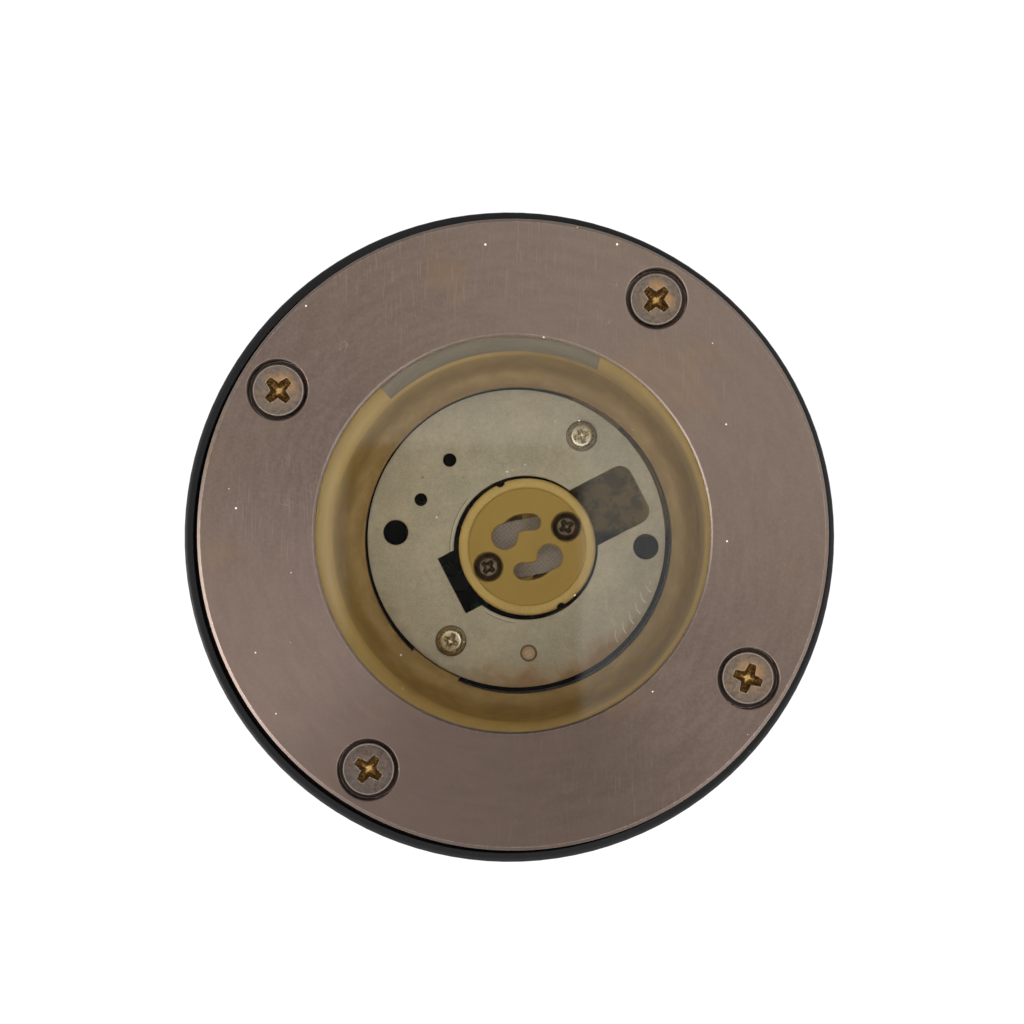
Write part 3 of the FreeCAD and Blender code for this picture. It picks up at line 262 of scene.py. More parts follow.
def bands(count, steps, looped=False):
    """Quads between rings of points that follow each other in the list."""
    faces = []
    for ring in range(count if looped else count - 1):
        here = ring * steps
        there = (ring + 1) % count * steps
        for step in range(steps):
            after = (step + 1) % steps
            faces.append((here + step, here + after, there + after, there + step))
    return faces


def skinned(name, points, steps, place):
    """A solid skinned over rings of points, closed at both ends."""
    faces = bands(len(points) // steps, steps)
    faces.append(tuple(range(steps)))
    faces.append(tuple(range(len(points) - steps, len(points))))
    return make_piece(name, points, faces, place)


def stack(name, rings, place):
    """A solid over flat rings, each (outline, height)."""
    points = [(point.x, point.y, height) for ring, height in rings for point in ring]
    return skinned(name, points, len(rings[0][0]), place)


def rod(name, points, bottom, top, place):
    """A straight solid with one outline from end to end."""
    return stack(name, [(points, bottom), (points, top)], place)


def lathe(name, profile, place, facets, steps=RING_STEPS):
    """A turned solid. The profile's corners are (radius, height[, rounding]). It is either a
    closed section clear of the axis, or a run that starts and ends on the axis."""
    on_axis = profile[0][0] == 0
    section = outline(profile, facets, closed=not on_axis)
    if on_axis:
        section = section[1:-1]
    points = []
    for radius, height in section:
        points += [(x, y, height) for x, y in circle(radius, steps)]
    faces = bands(len(section), steps, looped=not on_axis)
    if on_axis:
        points += [(0, 0, profile[0][1]), (0, 0, profile[-1][1])]
        last_ring = (len(section) - 1) * steps
        for step in range(steps):
            after = (step + 1) % steps
            faces.append((len(points) - 2, step, after))
            faces.append((len(points) - 1, last_ring + step, last_ring + after))
    return make_piece(name, points, faces, place)


def applied(piece):
    """Turns a piece's modifiers into its mesh."""
    graph = bpy.context.evaluated_depsgraph_get()
    mesh = bpy.data.meshes.new_from_object(piece.evaluated_get(graph))
    piece.modifiers.clear()
    piece.data = mesh
    return piece


def cut(piece, tools):
    """Takes the tools' shapes out of a piece, and removes the tools."""
    for tool in tools:
        step = piece.modifiers.new("tool", "BOOLEAN")
        step.operation = "DIFFERENCE"
        step.solver = "EXACT"
        step.object = tool
    applied(piece)
    for tool in tools:
        bpy.data.objects.remove(tool)
    return piece


def gathered(name, pieces):
    """Several pieces as one object, each keeping its own closed shell."""
    points = []
    faces = []
    place = pieces[0].location / MM
    for piece in pieces:
        shift = piece.location / MM - place
        first = len(points)
        points += [vertex.co / MM + shift for vertex in piece.data.vertices]
        faces += [tuple(first + index for index in face.vertices) for face in piece.data.polygons]
        bpy.data.objects.remove(piece)
    return make_piece(name, points, faces, place)


def dressed(piece, body, slot, finish, *nodes):
    """Smooths a piece, and gives it its finish, the body that it moves with and the nodes that
    it stands for."""
    piece.data.shade_smooth()
    piece.data.set_sharp_from_angle(angle=math.radians(SHARP_ANGLE))
    piece.modifiers.new("weighted", "WEIGHTED_NORMAL").keep_sharp = True
    applied(piece)
    piece.data.materials.clear()
    piece.data.materials.append(finish)
    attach(piece, body)
    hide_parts(*nodes)


def mouth_levels(points, bottom, top, rounding, facets=4):
    """Rings of a cutting shape whose mouth widens, so that the cut's edge comes out rounded."""
    rings = [(points, bottom)]
    for step in range(facets + 1):
        turn = math.radians(90 * step / facets)
        rings.append((grown(points, rounding * (1 - math.cos(turn))),
                      top - rounding * (1 - math.sin(turn))))
    rings.append((grown(points, rounding), top + PAST))
    return rings


def through_levels(points, bottom, top, rounding):
    """The same with a rounded mouth at both faces of a sheet."""
    upper = mouth_levels(points, bottom, top, rounding, 3)[1:]
    lower = [(ring, bottom + top - height) for ring, height in reversed(upper)]
    return lower + upper


def cross_cutter(top, reach, turn, place, arm=0.23):
    """A cross-head driver's shape: four sloping wings round a blunt point."""
    half_arm = reach * arm
    corner = reach * (arm + 0.13)
    levels = (                   # depth, reach, half width of a wing, inner corner
        (-PAST, 1.03, 1.12, 1.08),
        (0.0, 1.03, 1.12, 1.08),
        (0.04, 1.0, 1.0, 1.0),
        (0.35, 0.84, 0.86, 0.84),
        (0.62, 0.62, 0.66, 0.66),
        (0.8, 0.3, 0.42, 0.44),
        (0.86, 0.14, 0.2, 0.2),
    )
    rings = []
    for depth, far, wide, inner in levels:
        corners = []
        for quarter in range(4):
            wing = ((reach * far, -half_arm * wide), (reach * far, half_arm * wide),
                    (corner * inner, corner * inner))
            corners += spun([Vector(point) for point in wing], 90 * quarter + turn)
        drop = depth if depth < 0 else depth * reach
        rings.append((corners, top - drop))
    return stack("cross", rings, place)


# ---- Shader building ----
class Value:
    """One output in a shader tree. Sums and products of values add the nodes for them."""

    def __init__(self, socket):
        self.socket = socket

    def __add__(self, other):
        return calc("ADD", self, other)

    def __radd__(self, other):
        return calc("ADD", other, self)

    def __sub__(self, other):
        return calc("SUBTRACT", self, other)

    def __rsub__(self, other):
        return calc("SUBTRACT", other, self)

    def __mul__(self, other):
        return calc("MULTIPLY", self, other)


def srgb(red, green, blue):
    """A colour written as 0 to 255 on a screen, for a shader's socket."""
    def linear(value):
        share = value / 255
        return share / 12.92 if share <= 0.04045 else ((share + 0.055) / 1.055) ** 2.4
    return (linear(red), linear(green), linear(blue), 1.0)


def add(tree, kind, inputs, **settings):
    """A node with its settings, and its inputs set or linked. Returns its outputs."""
    node = tree.nodes.new(kind)
    for name, value in settings.items():
        setattr(node, name, value)
    for key, value in inputs.items():
        if isinstance(value, Value):
            tree.links.new(value.socket, node.inputs[key])
        else:
            node.inputs[key].default_value = value
    return node.outputs


def source(tree, kind, output=0, **inputs):
    """One output of a node that no other node feeds."""
    return Value(add(tree, kind, inputs)[output])


def made(kind, inputs, output=0, **settings):
    """One output of a node in the tree of the values that feed it."""
    tree = next(value.socket.id_data for value in inputs.values() if isinstance(value, Value))
    return Value(add(tree, kind, inputs, **settings)[output])


def calc(operation, first, second=0.0):
    return made("ShaderNodeMath", {0: first, 1: second}, operation=operation)


def clamped(value):
    value.socket.node.use_clamp = True
    return value


def vector_calc(operation, first, second=(0, 0, 0), output=0):
    return made("ShaderNodeVectorMath", {0: first, 1: second}, output, operation=operation)


def dot(first, second):
    return vector_calc("DOT_PRODUCT", first, second, "Value")


def split(value, kind="XYZ"):
    """A vector's or a colour's three parts."""
    outputs = add(value.socket.id_data, "ShaderNodeSeparate" + kind, {0: value})
    return [Value(socket) for socket in outputs]


def joined(x, y, z=0.0):
    return made("ShaderNodeCombineXYZ", {0: x, 1: y, 2: z})


def across_axis(place):
    """What of a place lies across the upright axis, and its length."""
    x, y, _ = split(place)
    flat = joined(x, y)
    return flat, vector_calc("LENGTH", flat, output="Value")


def mixed(share, first, second):
    return made("ShaderNodeMix", {0: share, 6: first, 7: second}, 2, data_type="RGBA")


def ramped(value, start, end, low_value=0.0, high_value=1.0):
    return made("ShaderNodeMapRange", {0: value, 1: start, 2: end, 3: low_value, 4: high_value},
                interpolation_type="SMOOTHSTEP")


def noise(place, scale, detail, roughness=0.55):
    return made("ShaderNodeTexNoise", {"Vector": place, "Scale": scale, "Detail": detail,
                                       "Roughness": roughness})


def stretched(place, scale, turn):
    return made("ShaderNodeMapping", {"Vector": place, "Scale": scale,
                                      "Rotation": (0, 0, math.radians(turn))})


def toward(place, degrees, start, full):
    """A mask for the side of an upright axis that a bearing points to. It begins and is full at
    two cosines of the angle away from that bearing."""
    way = vector_calc("NORMALIZE", vector_calc("MULTIPLY", place, (1, 1, 0)))
    return ramped(dot(way, turned_point(1, degrees).to_3d()), start, full)


# ---- Effects shared by the finishes ----
def edge_wear_and_glint(place, radius, breakup):
    """Finds outer edges, broken up by noise. Finishes paint them lighter, as wear and as
    painted glints.
    """
    bevel = made("ShaderNodeBevel", {"Radius": radius}, samples=6)
    normal = source(place.socket.id_data, "ShaderNodeNewGeometry", "Normal")
    edge = ramped(dot(bevel, normal), 0.995, 0.85)
    patchy = ramped(noise(place, breakup, 2.0), 0.38, 0.62)
    return {"Mask": clamped(edge * (0.35 + patchy))}


def dust_specks(place, spacing, share, size):
    """Small specks, scattered thinly."""
    cells = add(place.socket.id_data, "ShaderNodeTexVoronoi", {"Vector": place, "Scale": spacing})
    choice, variety, _ = split(Value(cells["Color"]), "Color")
    far = calc("DIVIDE", Value(cells["Distance"]), size * (0.35 + variety))
    return {"Mask": calc("LESS_THAN", choice, share) * clamped(clamped(1.0 - far) * 2.5)}


def turned_grain(place, lines, run):
    """Fine grain that runs round an axis, as a lathe or a rotary brush leaves it."""
    flat, radius = across_axis(place)
    x, y, _ = split(vector_calc("NORMALIZE", flat))
    across = (radius + split(place)[2]) * lines
    return {"Height": noise(joined(x * run, y * run, across), 1.0, 3.0, 0.7),
            "Shade": noise(joined(x * run, y * run, across * 0.12), 1.0, 4.0, 0.65)}


def patina(place, broad, fine):
    """Broad blotches and fine mottling of an aged surface."""
    return {"Blotch": ramped(noise(place, broad, 4.0, 0.6), 0.35, 0.68),
            "Mottle": ramped(noise(place, fine, 5.0, 0.7), 0.3, 0.7)}


def scratches(place, across, along, turn, share):
    """Thin scratches, each short and nearly straight, in one direction."""
    x, y, z = split(made("ShaderNodeVectorRotate", {"Vector": place, "Angle": turn}))
    crest = noise(joined(x * along, y * across, z * along), 1.0, 1.0) - 0.5
    line = ramped(calc("ABSOLUTE", crest), 0.006, 0.0)
    return {"Mask": line * ramped(noise(place, 240.0, 1.0), share + 0.1, share + 0.16)}


def weave(place, pitch):
    """A plain over-and-under weave seen from above."""
    waves = [calc("SINE", way * pitch * math.pi) for way in split(place)[:2]]
    return {"Height": waves[0] * waves[1] * 0.5 + 0.5}


def effect(build, **usual):
    """A node group of a place and some sizes, made by one of the functions above."""
    tree = bpy.data.node_groups.new(build.__name__, "ShaderNodeTree")
    tree.interface.new_socket("Vector", in_out="INPUT", socket_type="NodeSocketVector")
    for label, value in usual.items():
        socket = tree.interface.new_socket(label, in_out="INPUT", socket_type="NodeSocketFloat")
        socket.default_value = value
    given = tree.nodes.new("NodeGroupInput").outputs
    results = build(*[Value(given[label]) for label in ("Vector", *usual)])
    for label in results:
        tree.interface.new_socket(label, in_out="OUTPUT", socket_type="NodeSocketFloat")
    ends = tree.nodes.new("NodeGroupOutput").inputs
    for label, value in results.items():
        tree.links.new(value.socket, ends[label])
    return tree


def laid(group, place, *sizes):
    """An effect's output or outputs at a place in a finish. Sizes left out are the usual ones."""
    inputs = dict(enumerate((place, *sizes)))
    outputs = add(place.socket.id_data, "ShaderNodeGroup", inputs, node_tree=group)
    values = [Value(socket) for socket in outputs]
    return values if len(values) > 1 else values[0]


EDGE_WEAR_AND_GLINT = effect(edge_wear_and_glint, Radius=0.0003, Breakup=900.0)
DUST = effect(dust_specks, Spacing=260.0, Share=0.05, Size=0.09)
TURNING = effect(turned_grain, Lines=9000.0, Run=9.0)
PATINA = effect(patina, Broad=35.0, Fine=420.0)
SCRATCHES = effect(scratches, Across=700.0, Along=45.0, Turn=0.0, Share=0.5)
WEAVE = effect(weave, Pitch=2200.0)


# ---- Finishes ----
# Lengths in the finishes are metres, and bearings are degrees round an upright axis.
WELL_TOP = 0.0885
WELL_MOUTH = 0.0900
WELL_INSIDE = 0.0312
WELL_OUTSIDE = 0.0325
CAN_OUTSIDE = 0.0385
LEDGE_FOOT = 0.0945
LEDGE_TOP = 0.102
DULL_TOP = 0.112
RIGHT_FOOT_TOP = 0.128
GRAINY_FROM = 0.140
MARKS_RIM = 0.0292
MARKS_BEND = 11800.0


class Finish:
    """A material with one Principled shader. Its colour is laid on coat by coat."""

    def __init__(self, name, **plain):
        self.material = bpy.data.materials.new(name)
        self.material.use_nodes = True
        self.tree = self.material.node_tree
        self.shader = self.tree.nodes["Principled BSDF"]
        self.place = source(self.tree, "ShaderNodeTexCoord", "Object")
        for label, value in plain.items():
            self.shader.inputs[label.replace("_", " ")].default_value = value

    def around(self, centre):
        """Coordinates measured from an upright axis, for pieces whose origin is elsewhere."""
        return vector_calc("SUBTRACT", self.place, centre * MM)

    def start(self, mask, first, second):
        self.colour = mixed(mask, srgb(*first), srgb(*second))

    def coat(self, mask, tone):
        """Lays a colour over what is there, where a mask is above zero."""
        over = tone if isinstance(tone, Value) else srgb(*tone)
        self.colour = mixed(mask, self.colour, over)

    def dust(self, spacing, share, size, tone=(215, 205, 195)):
        """Lays pale specks over the colour, and takes them out of the metal."""
        specks = laid(DUST, self.place, spacing, share, size)
        metal = self.shader.inputs["Metallic"].default_value
        if metal > 0:
            self.feed("Metallic", (1.0 - specks) * metal)
        self.coat(specks, tone)
        return specks

    def feed(self, label, value):
        self.tree.links.new(value.socket, self.shader.inputs[label])

    def done(self, rough, *bumps):
        """Links the colour, the roughness unless it is plain, and the bumps, each a height, a
        strength and a depth in millimetres."""
        self.feed("Base Color", self.colour)
        if rough is not None:
            self.feed("Roughness", rough)
        under = {}
        for height, strength, depth in bumps:
            under = {"Normal": made("ShaderNodeBump", {
                "Height": height, "Strength": strength, "Distance": depth * MM, **under})}
        if under:
            self.feed("Normal", under["Normal"])
        return self.material


def aged_bronze():
    """Oxidised bronze with a fine turned grain, worn to copper on its edges, where a near-white
    painted highlight lies over the wear. Painted light and shade make it lighter towards the lower
    left and upper right and darker towards the bottom.
    """
    finish = Finish("aged_bronze", Metallic=0.7)
    place = finish.place
    groove, shade = laid(TURNING, place, 5200.0, 7.0)
    blotch, mottle = laid(PATINA, place, 26.0, 420.0)
    wear_and_glint = laid(EDGE_WEAR_AND_GLINT, place, 0.00022)
    speckle = noise(place, 1700.0, 3.0, 0.7)
    golden = ramped(noise(place, 48.0, 3.0, 0.6), 0.55, 0.72)
    brushed = ramped(noise(stretched(place, (3200, 170, 400), -27.0), 1.0, 2.0), 0.55, 0.75)
    brushed = brushed * ramped(noise(place, 30.0, 1.0), 0.4, 0.65)
    finish.start(blotch, (87, 73, 66), (90, 75, 65))
    finish.coat(mottle * 0.28, (86, 72, 65))
    finish.coat(ramped(speckle, 0.35, 0.75) * 0.3, (114, 99, 90))
    finish.coat(golden * 0.4, (112, 86, 54))
    finish.coat(ramped(shade, 0.35, 0.7) * 0.14, (120, 104, 95))
    finish.coat(brushed * 0.3, (134, 118, 110))
    # Painted light and shade: lighter towards the lower left and upper right, darker towards the
    # bottom.
    for degrees, start, share, tone in (
            (224.0, 0.45, 0.45, (116, 99, 92)), (48.0, 0.1, 0.45, (116, 101, 90)),
            (266.0, 0.6, 0.65, (66, 52, 46))):
        finish.coat(toward(place, degrees, start, 1.0) * share, tone)
    # Edges painted near white: partly wear, partly a painted highlight on the chamfers.
    finish.coat(wear_and_glint * 0.95, (252, 240, 230))
    marks = laid(SCRATCHES, place, 520.0, 45.0, 0.6, 0.6)
    marks = marks + laid(SCRATCHES, place, 430.0, 45.0, 2.1, 0.62)
    finish.coat(clamped(marks) * 0.35, (154, 134, 122))
    specks = finish.dust(190.0, 0.9, 0.034)
    rough = clamped(0.34 + shade * 0.16 - wear_and_glint * 0.2 + specks * 0.4)
    return finish.done(rough, (groove, 0.2, 0.012), (speckle, 0.12, 0.012))


def bronze_screw(corner, gold, dull, pale, shift):
    """Blue-grey patina outside, bare golden brass where the driver bears. The head's rim and edges
    are painted paler, partly as wear and partly as painted highlight. The recess has painted
    shade in dark patches and a painted highlight at its point.
    """
    finish = Finish("aged_bronze_screw_" + corner, Metallic=0.8)
    place = finish.place
    own = finish.around(Vector((shift, 0, 0)))
    blotch, mottle = laid(PATINA, own, 320.0, 1700.0)
    wear_and_glint = laid(EDGE_WEAR_AND_GLINT, place, 0.0002, 1500.0)
    x, y, z = split(place)
    radius = across_axis(place)[1]
    depth = high("cover_screw_upper_right").z * MM - z
    inside = ramped(depth, 0.00006, 0.0002) * ramped(radius, 0.0036, 0.0030)
    rubbed = ramped(radius, 0.0043, 0.0020) * ramped(noise(own, 380.0, 3.0), 0.34, 0.58)
    rubbed = rubbed * ramped(x + y, -0.002, 0.002, 0.25, 1.0)
    finish.start(mottle, dull, pale)
    finish.coat(blotch * 0.4, (90, 86, 82))
    finish.coat(rubbed * gold, (152, 116, 76))
    # Lighter edges: partly wear, partly painted glints.
    finish.coat(wear_and_glint * 0.9, (222, 204, 184))
    # A pale ring on the head's rim: partly wear, partly a painted highlight.
    finish.coat(ramped(radius, 0.00438, 0.00452) * 0.38, (204, 188, 178))
    # The recess: bare brass, darkened in patches as painted shade, with a painted highlight at its
    # point.
    chips = ramped(noise(place, 2400.0, 3.0, 0.7), 0.4, 0.62)
    bare = mixed(chips, srgb(66, 48, 24), srgb(146, 112, 62))
    point = ramped(radius, 0.0009, 0.0003) * (0.3 + chips * 0.6)
    finish.coat(inside, mixed(point, bare, srgb(200, 164, 100)))
    finish.dust(420.0, 0.06, 0.08)
    return finish.done(0.3 + mottle * 0.2, (mottle, 0.3, 0.03))


def cast_brass(centre):
    """Sand-cast outside. Inside, grainy by the mouth and dull and smooth lower down, darker olive
    towards the ledge, with painted light on the upper left of the wall, painted shade at the foot
    of the right wall, painted glints in the grain by the mouth and a painted highlight on the
    edges.
    The wiring well is painted near black as shade, except for a painted pool of light on its floor
    under the slot.
    """
    finish = Finish("cast_brass")
    place = finish.around(centre)
    groove, shade = laid(TURNING, place, 2600.0, 6.0)
    blotch = laid(PATINA, place, 90.0, 600.0)[0]
    x, y, z = split(place)
    radius = across_axis(place)[1]
    below = calc("GREATER_THAN", radius, WELL_OUTSIDE) * calc("LESS_THAN", z, WELL_TOP)
    outside = calc("MAXIMUM", calc("GREATER_THAN", radius, CAN_OUTSIDE), below)
    wear_and_glint = laid(EDGE_WEAR_AND_GLINT, place, 0.0003)
    sand = noise(place, 2600.0, 4.0, 0.7)
    mouth = ramped(z, DULL_TOP, GRAINY_FROM)
    right_foot_shade = toward(place, -12.0, 0.3, 0.95) * ramped(z, RIGHT_FOOT_TOP, DULL_TOP)
    finish.start(blotch, (208, 179, 106), (202, 173, 104))
    # Painted light: the wall is painted lighter towards the upper left.
    finish.coat(toward(place, 152.0, 0.1, 0.85), (250, 224, 146))
    # Painted shade: darker at the foot of the right wall.
    finish.coat(right_foot_shade * 0.85, (142, 118, 74))
    finish.coat(ramped(z, LEDGE_TOP, LEDGE_FOOT), (148, 120, 64))
    finish.coat(mouth, (184, 154, 80))
    # Bright grains by the mouth: partly sand grain, partly painted glints.
    finish.coat(mouth * ramped(sand, 0.4, 0.65) * 0.7, (226, 198, 116))
    finish.coat(ramped(shade, 0.4, 0.7) * 0.2, (222, 192, 126))
    tarnish = mixed(ramped(noise(place, 140.0, 5.0, 0.7), 0.35, 0.65),
                    srgb(150, 124, 76), srgb(104, 84, 54))
    finish.coat(outside * 0.9, tarnish)
    # Lighter copper edges: partly wear, partly a painted highlight along the ledge's edge.
    finish.coat(wear_and_glint * 0.6, (226, 172, 118))
    in_well = ramped(z, WELL_MOUTH, WELL_TOP) * calc("LESS_THAN", radius, WELL_INSIDE)
    # Painted light: the well floor under the slot's right end is a bright mottled gold.
    lit_floor_patch = ramped(x, 0.006, 0.016) * ramped(y, 0.0005, 0.003)
    # Painted shade: the wiring well is painted near black, except for the patch under the slot.
    painted_well_shade = in_well * (1.0 - lit_floor_patch)
    floor = mixed(ramped(noise(place, 260.0, 3.0, 0.6), 0.4, 0.62),
                  srgb(240, 204, 122), srgb(176, 148, 84))
    finish.coat(in_well * lit_floor_patch, floor)
    finish.coat(painted_well_shade, (24, 21, 17))
    # Less metal and sheen where the painted shade lies.
    outside_painted_shade = 1.0 - painted_well_shade
    finish.feed("Metallic", outside_painted_shade * 0.3 + outside * 0.35)
    finish.feed("Specular IOR Level", outside_painted_shade * 0.5)
    rough_skin = sand * calc("MAXIMUM", outside, mouth * 0.4)
    return finish.done(0.46 + shade * 0.1 + outside * 0.15,
                       (groove, 0.15, 0.02), (rough_skin, 0.5, 0.14))


def turned_brass(centre):
    finish = Finish("turned_brass", Metallic=1.0)
    place = finish.around(centre)
    groove, shade = laid(TURNING, place, 4200.0, 4.0)
    blotch, mottle = laid(PATINA, place, 90.0, 700.0)
    wear_and_glint = laid(EDGE_WEAR_AND_GLINT, place, 0.0003)
    finish.start(blotch, (190, 158, 92), (168, 136, 78))
    finish.coat(mottle * 0.3, (150, 120, 72))
    finish.coat(wear_and_glint * 0.6, (222, 194, 130))
    return finish.done(0.24 + shade * 0.2, (groove, 0.2, 0.02))


def zinc_sheet():
    """Rolled sheet with a dull zinc plating, stained brown along its lower rim."""
    finish = Finish("zinc_plate", Metallic=0.35)
    place = finish.place
    blotch, mottle = laid(PATINA, place, 75.0, 900.0)
    wear_and_glint = laid(EDGE_WEAR_AND_GLINT, place, 0.00016)
    finish.start(blotch, (205, 197, 174), (186, 182, 163))
    finish.coat(ramped(noise(place, 210.0, 4.0, 0.65), 0.4, 0.7) * 0.5, (166, 160, 140))
    finish.coat(mottle * 0.4, (168, 158, 134))
    finish.coat(ramped(noise(place, 3400.0, 2.0, 0.7), 0.42, 0.66) * 0.3, (226, 220, 204))
    rolled = noise(stretched(place, (120, 2600, 400), 31.0), 1.0, 3.0)
    finish.coat(rolled * 0.15, (208, 202, 184))
    flat, radius = across_axis(place)
    ragged = radius + (noise(place, 160.0, 3.0) - 0.5) * 0.01
    stain = ramped(ragged, 0.0240, 0.0300) * toward(place, -72.0, 0.72, 0.97)
    finish.coat(stain * 0.7, (172, 130, 82))
    # Darker brown along the rim towards the bottom.
    low_rim_brown = ramped(ragged, 0.0275, 0.0298) * ramped(split(place)[1], 0.002, -0.02)
    finish.coat(low_rim_brown * 0.25, (124, 92, 60))
    finish.coat(chatter_marks(flat, radius) * 0.8, (236, 228, 206))
    # Painted shade and highlight beside the socket hole's edge.
    arc_shade_and_highlight(finish, flat)
    marks = laid(SCRATCHES, place, 420.0, 30.0, 0.5, 0.5)
    finish.coat(marks * 0.35, (218, 210, 192))
    finish.coat(wear_and_glint * 0.4, (214, 208, 196))
    spot = Vector((-17.5, 5.0, plate_top)) * MM
    near = ramped(vector_calc("DISTANCE", place, spot, "Value"), 0.012, 0.003)
    dots = laid(DUST, place, 460.0, 0.3, 0.14)
    finish.coat(dots * clamped(0.15 + near) * 0.8, (84, 76, 62))
    return finish.done(0.45 + mottle * 0.15, (mottle, 0.12, 0.03))


def chatter_marks(flat, radius):
    """Short bright marks that the press left side by side along one stretch of the rim."""
    x, y, _ = split(flat)
    angle = calc("ARCTAN2", y, x)
    inward = MARKS_RIM - radius
    bend = inward * inward * MARKS_BEND
    phase = calc("FRACT", (angle - bend) * (MARKS_PER_TURN / (2 * math.pi)))
    line = ramped(calc("ABSOLUTE", phase - 0.5), 0.085, 0.03)
    stretch = ramped(angle, -0.92, -0.7) * ramped(angle, -0.33, -0.38)
    band = ramped(radius, 0.0269, 0.0274) * ramped(radius, 0.0294, 0.0290)
    return line * (stretch * band)


def arc_shade_and_highlight(finish, flat):
    """A dark line of painted shade and a light line of painted highlight beside two stretches of
    the socket hole's edge.
    """
    from_hole = vector_calc("SUBTRACT", flat, SOCKET_HOLE.to_3d() * MM)
    distance = vector_calc("LENGTH", from_hole, output="Value")
    window = calc("MAXIMUM", toward(from_hole, 163.0, 0.90, 0.94),
                  toward(from_hole, 250.0, 0.972, 0.985))
    for offset, strength, tone in ((0.8, 0.6, (104, 96, 80)), (0.5, 0.5, (238, 232, 214))):
        away = calc("ABSOLUTE", distance - (SOCKET_HOLE_RADIUS + offset) * MM)
        finish.coat(ramped(away, 0.00013, 0.00005) * strength * window, tone)


def rivet_zinc(centre, radius):
    """Zinc gone brown, with painted shade as a dark ring towards the rim of the rivet's head."""
    finish = Finish("rivet_zinc", Metallic=0.5, Roughness=0.45)
    across = vector_calc("MULTIPLY", finish.around(centre), (1, 1, 0))
    away = vector_calc("LENGTH", across, output="Value")
    mottle = laid(PATINA, finish.place, 500.0, 2000.0)[1]
    finish.start(mottle, (186, 160, 128), (206, 182, 150))
    # Painted shade: a dark ring towards the rim of the head.
    rim = ramped(away, radius * 0.62 * MM, radius * 0.86 * MM)
    finish.coat(rim * 0.85, (96, 74, 52))
    return finish.done(None, (mottle, 0.12, 0.02))


def plain_finish(name, grain, tones, rough, bump, wear_and_glint=None, masks=(0, 1, 1), **plain):
    """Blotches (mask 0) and mottling (mask 1) feed the colour, the sheen and the bumps in the
    order that masks gives. Edges painted lighter, as wear and as a painted glint, are
    (radius, break-up, share, tone)."""
    finish = Finish(name, **plain)
    aged = laid(PATINA, finish.place, *grain)
    tone_mask, sheen, height = [aged[mask] for mask in masks]
    finish.start(tone_mask, *tones)
    if wear_and_glint:
        finish.coat(laid(EDGE_WEAR_AND_GLINT, finish.place, *wear_and_glint[:2]) * wear_and_glint[2], wear_and_glint[3])
    return finish.done(rough[0] + sheen * rough[1], (height, *bump))


def moulded_nylon(name, pale, dark):
    return plain_finish(name, (120.0, 1400.0), (pale, dark), (0.42, 0.15), (0.12, 0.03))


def tan_ceramic():
    """Unglazed tan steatite, with painted shade: darker ochre where the moulded face sits deeper.
    """
    finish = Finish("tan_ceramic", Specular_IOR_Level=0.35)
    place = finish.place
    blotch, mottle = laid(PATINA, place, 160.0, 2400.0)
    painted_recess_shade = ramped(split(place)[2], (holder_top - 0.25) * MM, (holder_top - 0.75) * MM)
    finish.start(blotch, (238, 212, 138), (230, 204, 134))
    # Painted shade on the recessed face.
    finish.coat(painted_recess_shade, (198, 170, 92))
    finish.coat(mottle * 0.25, (190, 156, 84))
    return finish.done(0.58 + mottle * 0.2, (mottle, 0.18, 0.03))


def woven_pad():
    finish = Finish("woven_pad", Roughness=0.85)
    place = finish.place
    fuzz = noise(place, 3600.0, 4.0, 0.7)
    wander = source(finish.tree, "ShaderNodeTexNoise", 1, Vector=place, Scale=700.0)
    strayed = made("ShaderNodeVectorMath", {0: wander, 1: (0.0006, 0.0006, 0.0), 2: place},
                   operation="MULTIPLY_ADD")
    woven = laid(WEAVE, strayed, 2100.0)
    finish.start(woven, (222, 206, 190), (252, 240, 226))
    finish.coat(ramped(fuzz, 0.3, 0.7) * 0.6, (196, 180, 168))
    return finish.done(None, (fuzz, 0.5, 0.08))


def black_plastic():
    """Satin moulded plastic with a fine skin, scuffed on its edges."""
    finish = Finish("black_plastic", Specular_IOR_Level=0.12)
    place = finish.place
    blotch, mottle = laid(PATINA, place, 45.0, 1600.0)
    wear_and_glint = laid(EDGE_WEAR_AND_GLINT, place, 0.0006)
    marks = laid(SCRATCHES, place, 700.0, 45.0, 1.1, 0.55)
    finish.start(blotch, (20, 20, 22), (25, 25, 27))
    finish.coat(wear_and_glint * 0.15, (70, 70, 72))
    finish.coat(marks * 0.25, (84, 84, 86))
    finish.dust(240.0, 0.4, 0.045, (150, 144, 138))
    return finish.done(0.4 + mottle * 0.12, (mottle, 0.15, 0.03))


def braided_sleeving():
    finish = Finish("white_sleeving", Roughness=0.8)
    blotch = laid(PATINA, finish.place, 200.0, 2600.0)[0]
    woven = laid(WEAVE, stretched(finish.place, (1, 1, 1), 45.0), 1800.0)
    finish.start(woven, (186, 180, 164), (222, 218, 206))
    finish.coat(blotch * 0.25, (176, 164, 140))
    return finish.done(None, (woven, 0.6, 0.12))


